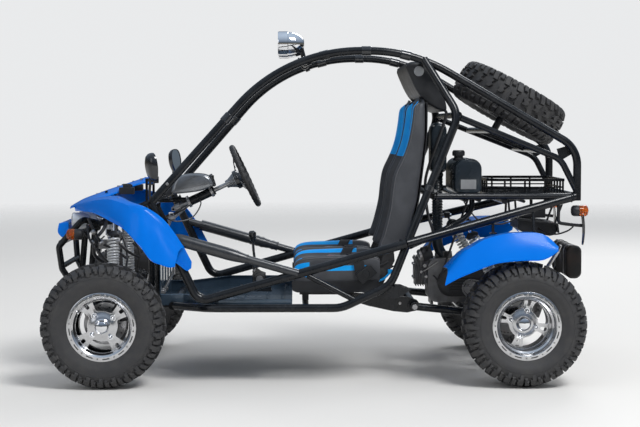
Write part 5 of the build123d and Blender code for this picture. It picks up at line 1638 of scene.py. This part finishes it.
def belts():
    """Lap belt of each seat, laid over the cushion from both sides to a buckle."""
    shown = bpy.context.evaluated_depsgraph_get()
    reel_outline = [(-40, -24), (34, -24), (40, -16), (40, 20), (30, 28), (-30, 28), (-40, 18)]
    # side, reach of the strap, name, block of the buckle, block and finish of the tongue
    halves = ((1, 28, "outer", (-6, 26, 25, -2, 7), (20, 30, 19, -1, 3.5), "steel"),
              (-1, 34, "inner", (-16, 34, 26, -2, 15), (18, 33, 14, 13, 16.2), "red"))
    for seat, label in SIDES:
        centre = seat * SEAT_Y
        cushion = bpy.data.objects[f"seat_cushion_{label}"]
        tree = BVHTree.FromObject(cushion, shown)
        for side, reach, part, buckle_size, tongue_size, tongue_finish in halves:
            line = strap_line(tree, centre, side, reach)
            rings, length = [], 0.0
            for k, v in enumerate(line):
                along = (line[min(k + 1, len(line) - 1)] - line[max(k - 1, 0)]).normalized()
                length += (v - line[k - 1]).length if k else 0
                across = (Vector((1, 0, 0)) - along * along.x).normalized()
                lift = along.cross(across).normalized()
                rings.append([v + across * c + lift * up for c, up in
                              ((-23, 0), (-22, 0.9), (0, 1.1), (22, 0.9), (23, 0), (22, -0.7), (0, -0.7),
                               (-22, -0.7))])
            strap = Piece().add(loft(rings))
            obj = strap.make(f"belt_{part}_{label}", ["webbing"], "seat_fabric", sharp=50)
            end, along = line[-1], (line[-1] - line[-3]).normalized()
            buckle = Piece().add(buckle_block(end, along, *buckle_size))
            tongue = Piece().add(buckle_block(end, along, *tongue_size))
            buckle.make(f"buckle_{part}_{label}", ["plastic"], "control_black", bevel=2.5)
            tongue.make(f"tongue_{part}_{label}", [tongue_finish], "control_black", bevel=0.6)
            tilt = Matrix.Translation((-200, centre + side * 232, 466)) @ Matrix.Rotation(math.radians(38), 4,
                                                                                          "Y")
            reel = Piece().add(prism(reel_outline, *span(side, -14, 18)), place=tilt)
            reel.add(rod((0, side * 16, 2), (0, side * 21, 2), 17, 28), place=tilt)
            reel.make(f"belt_reel_{part}_{label}", ["plastic"], "control_black", bevel=4)


def nose_bits():
    """Horn, fluid reservoir and rack boots in the nose; bell of the steering wheel's hub."""
    horn, tub, boots, bell = Piece(), Piece(), Piece(), Piece()
    horn.add(along_line((980, 118, 560), (1006, 118, 560),
                        [(0, 12), (0.1, 30), (0.35, 41), (0.5, 42), (0.55, 36),
                                                            (0.8, 33), (0.82, 12), (1, 11), (1, 0.1)], 44))
    horn.add(box((975, 981), (112, 170), (552, 568)))
    horn.make("horn", ["gloss"], "control_black", bevel=0.5)
    tub.add(along_line((940, 140, 612), (940, 140, 662), [(0, 15), (0.05, 18), (0.9, 18), (1, 16), (1, 0.1)],
                       32))
    tub.add(along_line((940, 140, 662), (940, 140, 676), [(0, 19), (0.9, 19), (1, 15), (1, 0.1)], 32), mark=1)
    tub.add(box((930, 950), (155, 170), (620, 640)), mark=1)
    tub.make("fluid_reservoir", ["lamp_white", "plastic"], "control_black", bevel=0.5)
    folds = [((k + 0.5) / 18, (25 if k % 2 else 18.5) - k * 0.25) for k in range(17)]
    profile = [(0, 23), *folds, (0.97, 15), (1, 15), (1, 13)]
    for side in (1, -1):
        boots.add(along_line((818, side * 144, 264), (818, side * 240, 264), profile, 32))
    boots.make("rack_boots", ["grip"], "control_black")
    bell.add(along_line(WHEEL_CENTRE + DOWN * 26, WHEEL_CENTRE + DOWN * 92,
                        [(0, 34), (0.04, 37), (0.3, 36), (0.55, 27), (0.8, 19), (1, 17), (1, 0.1)], 48))
    bell.make("wheel_bell", ["pod"], "steel", "steering_wheel", bevel=0.4)


def seat_bases():
    """Pan, side skirts, rails, back skin and recliner of each seat, with the small parts beside the hinge."""
    skirt = [(-246, 392), (-210, 386), (96, 386), (114, 392), (119, 406), (119, 436), (-254, 436),
             (-256, 410)]
    brace = [(-322, 566), (-300, 580), (-284, 560), (-226, 420), (-252, 400), (-276, 420), (-326, 520)]
    for seat, label in SIDES:
        centre = seat * SEAT_Y
        pan, metal, blue = Piece(), Piece(), Piece()
        pan.add(prism([(-244, 392), (-210, 388), (96, 388), (112, 394), (117, 413), (-250, 413)],
                      centre - 211, centre + 211))
        for side in (1, -1):
            def out(far, side=side):
                return centre + side * far
            pan.add(prism(skirt, *sorted((out(213), out(217)))))
            metal.add(prism(brace, *sorted((out(186), out(192)))))
            metal.add(rod((-268, out(184), 470), (-268, out(204), 470), 22, 32))
            metal.add(hexagon((-268, out(204), 470), (0, side, 0), 9, 7))
            metal.add(hexagon((-306, out(192), 556), (0, side, 0), 8, 7))
            metal.add(rod((-300, out(196), 520), (-262, out(198), 500), 5, 12))
            rail = (out(130) - 12, out(130) + 12)
            metal.add(box((-152, 86), rail, (369, 388)))
            metal.add(box((46, 74), rail, (345, 370)))
        blue.add(hose([(-330, centre + 196, 484), (-306, centre + 200, 470), (-280, centre + 204, 446),
                       (-246, centre + 196, 430)], 5, 10, 6))
        blue.add(box((-318, -296), (centre + 192, centre + 206), (470, 484)))
        rear = smooth_line([(row[0][0], 0, row[0][1]) for row in SEAT_BACK[:-2]], 3)
        pan.add(loft([[Vector((v.x + dx, centre + dy, v.z)) for dx, dy in
                       ((-7, -196), (-7, 196), (-1.5, 206), (-1.5, -206))] for v in rear]))
        pan.make(f"seat_pan_{label}", ["plastic"], "seat_shell", instead="seat_shells", bevel=1.5, sharp=35)
        metal.make(f"seat_frame_{label}", ["black_cast"], "seat_shell", instead="seat_shells", bevel=0.8,
                   sharp=35)
        blue.make(f"seat_cable_{label}", ["vinyl_blue"], "control_black", bevel=1.0)
    stays = Piece()
    for side in (1, -1):
        stays.add(rod((53, side * 566, 470), (-165, side * 568, 356), 12.5, 24))
        stays.add(bead((46, side * 566, 474), (-218, 0, -114), 13.5))
        stays.add(bead((-150, side * 568, 364), (-218, 0, -114), 13.5))
    stays.make("seat_stays", ["frame"], "frame_black")


def floor_parts():
    """Glossy floor sheet with pressed ribs and low folded sides, and the toe board."""
    plan = [(118, 545), (430, 545), (596, 316), (699, 316)]
    tub, screws = Piece(), Piece()
    ring = plan + [(x, -y) for x, y in reversed(plan)]
    tub.add(loft([[Vector((x, y, z)) for x, y in ring] for z in (313, 316)]))
    # folded side as (distance inward, z)
    fold = ((0, 313), (0, 362), (3, 365), (14, 365), (14, 362), (5, 360), (3, 356), (3, 316))
    for (x0, y0), (x1, y1) in zip(plan, plan[1:]):
        for side in (1, -1):
            start, end = Vector((x0, side * y0, 0)), Vector((x1, side * y1, 0))
            along = (end - start).normalized()
            inward = Vector((-along.y, along.x, 0)) * (-side)
            tub.add(loft([[v + inward * far + Vector((0, 0, z)) for far, z in fold] for v in (start, end)]))
    tub.add(box((118, 121), (-545, 545), (313, 330)))
    for x in (160, 230, 330, 400, 470, 540):
        reach = 480 if x < 430 else 300
        rings = []
        for y, lift in ((-reach, 0.4), (-reach + 14, 3.5), (reach - 14, 3.5), (reach, 0.4)):
            rib = ((-9, 315.8), (-4, 316 + lift), (4, 316 + lift), (9, 315.8))
            rings.append([Vector((x + dx, y, z)) for dx, z in rib])
        tub.add(loft(rings))
    tub.add(box((696, 700), (-316, 316), (313, 500)))
    for y in (-210, -70, 70, 210):
        tub.add(box((692, 697), (y - 5, y + 5), (330, 486)))
    tub.add(box((684, 700), (-316, 316), (497, 500)))
    tub.make("floor_tub", ["floor"], "floor_blue", instead="floor_pan", bevel=0.8, sharp=30)
    for x in (150, 260, 370):
        for y in (522, -522):
            screws.add(hexagon((x, y, 316), (0, 0, 1), 7, 4))
    screws.make("floor_screws", ["steel"], "steel", bevel=0.4)


def pivot_plates():
    """Rounded plates between the rear floor bar and the arm's pivot."""
    for side, label in SIDES:
        outline = [(-118, 364), (-118, 338), (-220, 306), (-330, 282), (-392, 276), (-430, 284), (-446, 306),
                   (-436, 330), (-400, 346), (-330, 352), (-240, 360), (-165, 365)]
        plate = Piece().add(prism(outline, *span(side, 270, 278)))
        plate.add(rod((-420, side * 262, 310), (-420, side * 286, 310), 26, 36))
        plate.make(f"pivot_plate_{label}", ["frame"], "frame_black", instead="pivot_brackets", bevel=1.5)
        bolts = Piece().add(hexagon((-420, side * 352, 310), (0, side, 0), 13, 9))
        for x, z in ((-150, 352), (-200, 348), (-360, 318)):
            bolts.add(hexagon((x, side * 278, z), (0, side, 0), 7, 5))
        bolts.make(f"pivot_bolts_{label}", ["steel"], "steel", bevel=0.5)


def nose_lines():
    """Hoses, wiring and clips among the front dampers, and the folded feet of the front fenders."""
    feet, hoses, clips = Piece(), Piece(), Piece()
    outline = [(622, 540), (626, 575), (604, 612), (577, 600), (557, 560), (541, 530), (543, 503), (560, 490),
               (580, 503), (590, 526)]
    for side in (1, -1):
        feet.add(prism(outline, *span(side, 582, 586)))
        feet.add(prism([(610, 528), (600, 536), (560, 500), (566, 494)], *span(side, 586, 592)))
        for path, radius in (
            ([(1010, 330, 700), (980, 350, 640), (950, 330, 590), (900, 290, 560), (850, 280, 520)], 6),
            ([(1020, 300, 670), (1000, 340, 600), (960, 350, 550), (930, 320, 510), (900, 260, 480)], 5),
            ([(940, 200, 700), (950, 270, 650), (985, 300, 600), (990, 290, 540), (960, 240, 500)], 8),
            ([(880, 180, 690), (900, 260, 640), (880, 300, 590), (840, 290, 550), (800, 240, 520)], 6),
        ):
            hoses.add(hose([(x, side * y, z) for x, y, z in path], radius, 10, 6))
        for x, y, z in ((985, 352, 640), (952, 332, 592), (995, 300, 590), (884, 300, 596)):
            clips.add(along_line((x - 7, side * y, z + 6), (x + 7, side * y, z - 6),
                                 [(0, 9), (0.2, 11), (0.8, 11), (1, 9)], 20))
        clips.add(box((930, 975), span(side, 226, 262), (560, 600)))
        clips.add(hexagon((952, side * 262, 580), (0, side, 0), 8, 6))
    feet.make("fender_feet", ["blue"], "body_blue", bevel=1.0)
    hoses.make("nose_hoses", ["wire"], "control_black")
    clips.make("nose_clips", ["steel"], "steel", bevel=0.8)


def dress_nodes():
    """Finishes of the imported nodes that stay."""
    worn = {
        "frame": ["roof_rails", "rear_stays", "side_hoops", "side_braces", "rear_braces", "cross_bars",
                  "rear_rails", "spare_cradle", "front_frame", "swing_arm", "pivot_brackets", "bumper",
                  "tail_brackets", "control_arms", "basket", "column_jacket"],
        "foam": ["knee_bars"],
        "floor": ["floor_pan"],
        "steel": ["knuckle_left", "knuckle_right", "rear_axle", "tie_rods", "lower_shaft", "rack_housing"],
        "chrome": ["dampers_front", "dampers_rear", "roof_lamps"],
        "cast": ["engine"],
        "exhaust": ["exhaust"],
        "plastic": ["fuel_tank", "air_box", "rear_panel", "dash_pod", "seat_shells", "pedals", "gear_lever",
                    "mirrors"],
        "grip": ["steering_wheel"],
        "vinyl": ["seat_pads"],
        "blue": ["hood", "fenders_front", "nose_cap", "fenders_rear"],
        "glass": ["headlamps"],
        "amber": ["indicators"],
    }
    for key, names in worn.items():
        for name in names:
            mesh = nodes[name].data
            mesh.materials.clear()
            mesh.materials.append(FINISH[key])


def shader_node(tree, kind, **inputs):
    """New shader node with some of its inputs set."""
    node = tree.nodes.new(f"ShaderNode{kind}")
    for key, value in inputs.items():
        node.inputs[key].default_value = value
    return node


def studio_floor():
    """Pale floor that fades into the backdrop at its edge."""
    mesh = bpy.data.meshes.new("floor")
    reach = 40.0
    mesh.from_pydata([(-reach, -reach, 0), (reach, -reach, 0), (reach, reach, 0), (-reach, reach, 0)], [],
                     [(0, 1, 2, 3)])
    floor = bpy.data.objects.new("floor", mesh)
    bpy.context.scene.collection.objects.link(floor)
    mat, shader = material("studio_floor", (0.8, 0.79, 0.77), 0.9)
    tree = mat.node_tree
    fade = pattern(tree, "Gradient", 1.0, (1 / 16,) * 3)
    fade.gradient_type = "SPHERICAL"
    clear, mix = shader_node(tree, "BsdfTransparent"), shader_node(tree, "MixShader")
    for source, target in ((remap(tree, fade.outputs["Fac"], 0.0, 0.6, 0, 1), mix.inputs[0]),
                           (clear.outputs[0], mix.inputs[1]), (shader.outputs[0], mix.inputs[2]),
                           (mix.outputs[0], tree.nodes["Material Output"].inputs["Surface"])):
        tree.links.new(source, target)
    mesh.materials.append(mat)


def studio_world():
    """Plain backdrop for the camera, soft light for the rest and a banded sky in the reflections."""
    world = bpy.data.worlds.new("studio")
    bpy.context.scene.world = world
    world.use_nodes = True
    tree = world.node_tree
    soft = tree.nodes["Background"]
    soft.inputs["Color"].default_value = (0.93, 0.96, 1.0, 1)
    soft.inputs["Strength"].default_value = 0.5
    seen = shader_node(tree, "Background", Color=(0.86, 0.87, 0.88, 1), Strength=0.95)
    sky, heading = shader_node(tree, "Background"), shader_node(tree, "TexCoord")
    height, ramp = shader_node(tree, "SeparateXYZ"), shader_node(tree, "ValToRGB")
    stops = ((0.0, (0.16, 0.14, 0.11)), (0.46, (0.2, 0.175, 0.14)), (0.52, (0.07, 0.08, 0.08)),
             (0.64, (0.2, 0.25, 0.33)), (1.0, (0.55, 0.66, 0.8)))
    for k, (at, colour) in enumerate(stops):
        stop = ramp.color_ramp.elements[k] if k < 2 else ramp.color_ramp.elements.new(at)
        stop.position = at
        stop.color = (*colour, 1)
    ray, straight = shader_node(tree, "LightPath"), shader_node(tree, "Math")
    straight.operation = "MAXIMUM"
    shiny, mix = shader_node(tree, "MixShader"), shader_node(tree, "MixShader")
    tree.links.new(heading.outputs["Generated"], height.inputs["Vector"])
    for source, target in (
        (remap(tree, height.outputs["Z"], -1, 1, 0, 1), ramp.inputs["Fac"]),
        (ramp.outputs["Color"], sky.inputs["Color"]), (ray.outputs["Is Camera Ray"], straight.inputs[0]),
        (ray.outputs["Is Transmission Ray"], straight.inputs[1]),
        (ray.outputs["Is Glossy Ray"], shiny.inputs[0]), (soft.outputs[0], shiny.inputs[1]),
        (sky.outputs[0], shiny.inputs[2]), (straight.outputs[0], mix.inputs[0]),
        (shiny.outputs[0], mix.inputs[1]), (seen.outputs[0], mix.inputs[2]),
        (mix.outputs[0], tree.nodes["World Output"].inputs["Surface"]),
    ):
        tree.links.new(source, target)


def stage():
    """Floor, backdrop, soft key and fill lamps, and the camera."""
    studio_floor()
    studio_world()
    for name, place, power, size in (("key", (-3.5, 5.5, 8.0), 640, 3.0), ("fill", (6.5, 6.5, 4.0), 70, 5.0),
                                     ("back", (-3.0, -7.0, 6.0), 260, 4.0)):
        light = bpy.data.lights.new(name, "AREA")
        light.energy = power
        light.size = size
        lamp = bpy.data.objects.new(name, light)
        lamp.location = place
        lamp.rotation_euler = (Vector((0, 0, 0.5)) - Vector(place)).to_track_quat("-Z", "Y").to_euler()
        bpy.context.scene.collection.objects.link(lamp)

    # The photograph's horizon lies at 0.3 of its height, and its camera looks 0.9 degrees off square
    lens = bpy.data.cameras.new("camera")
    lens.sensor_width = 36.0
    lens.lens = 85.69
    camera = bpy.data.objects.new("camera", lens)
    camera.location = (0.1007, 7.0, 1.0886)
    camera.rotation_euler = (math.radians(90 - 3.165), 0, math.radians(180 - 0.902))
    bpy.context.scene.collection.objects.link(camera)
    bpy.context.scene.camera = camera
    bpy.context.scene.view_settings.view_transform = "Standard"


dress_nodes()
wheels()
front_body()
rear_fenders()
seats()
dampers()
steering()
dash_pod()
roof_lamps()
headlamps()
indicators()
door_mirrors()
rear_panel()
tank_and_air()
engine()
exhaust()
frame_details()
knee_pads()
front_brakes()
axle_parts()
drive_chain()
clutter()
controls()
tail_parts()
seat_bases()
belts()
floor_parts()
pivot_plates()
nose_bits()
nose_lines()
stage()
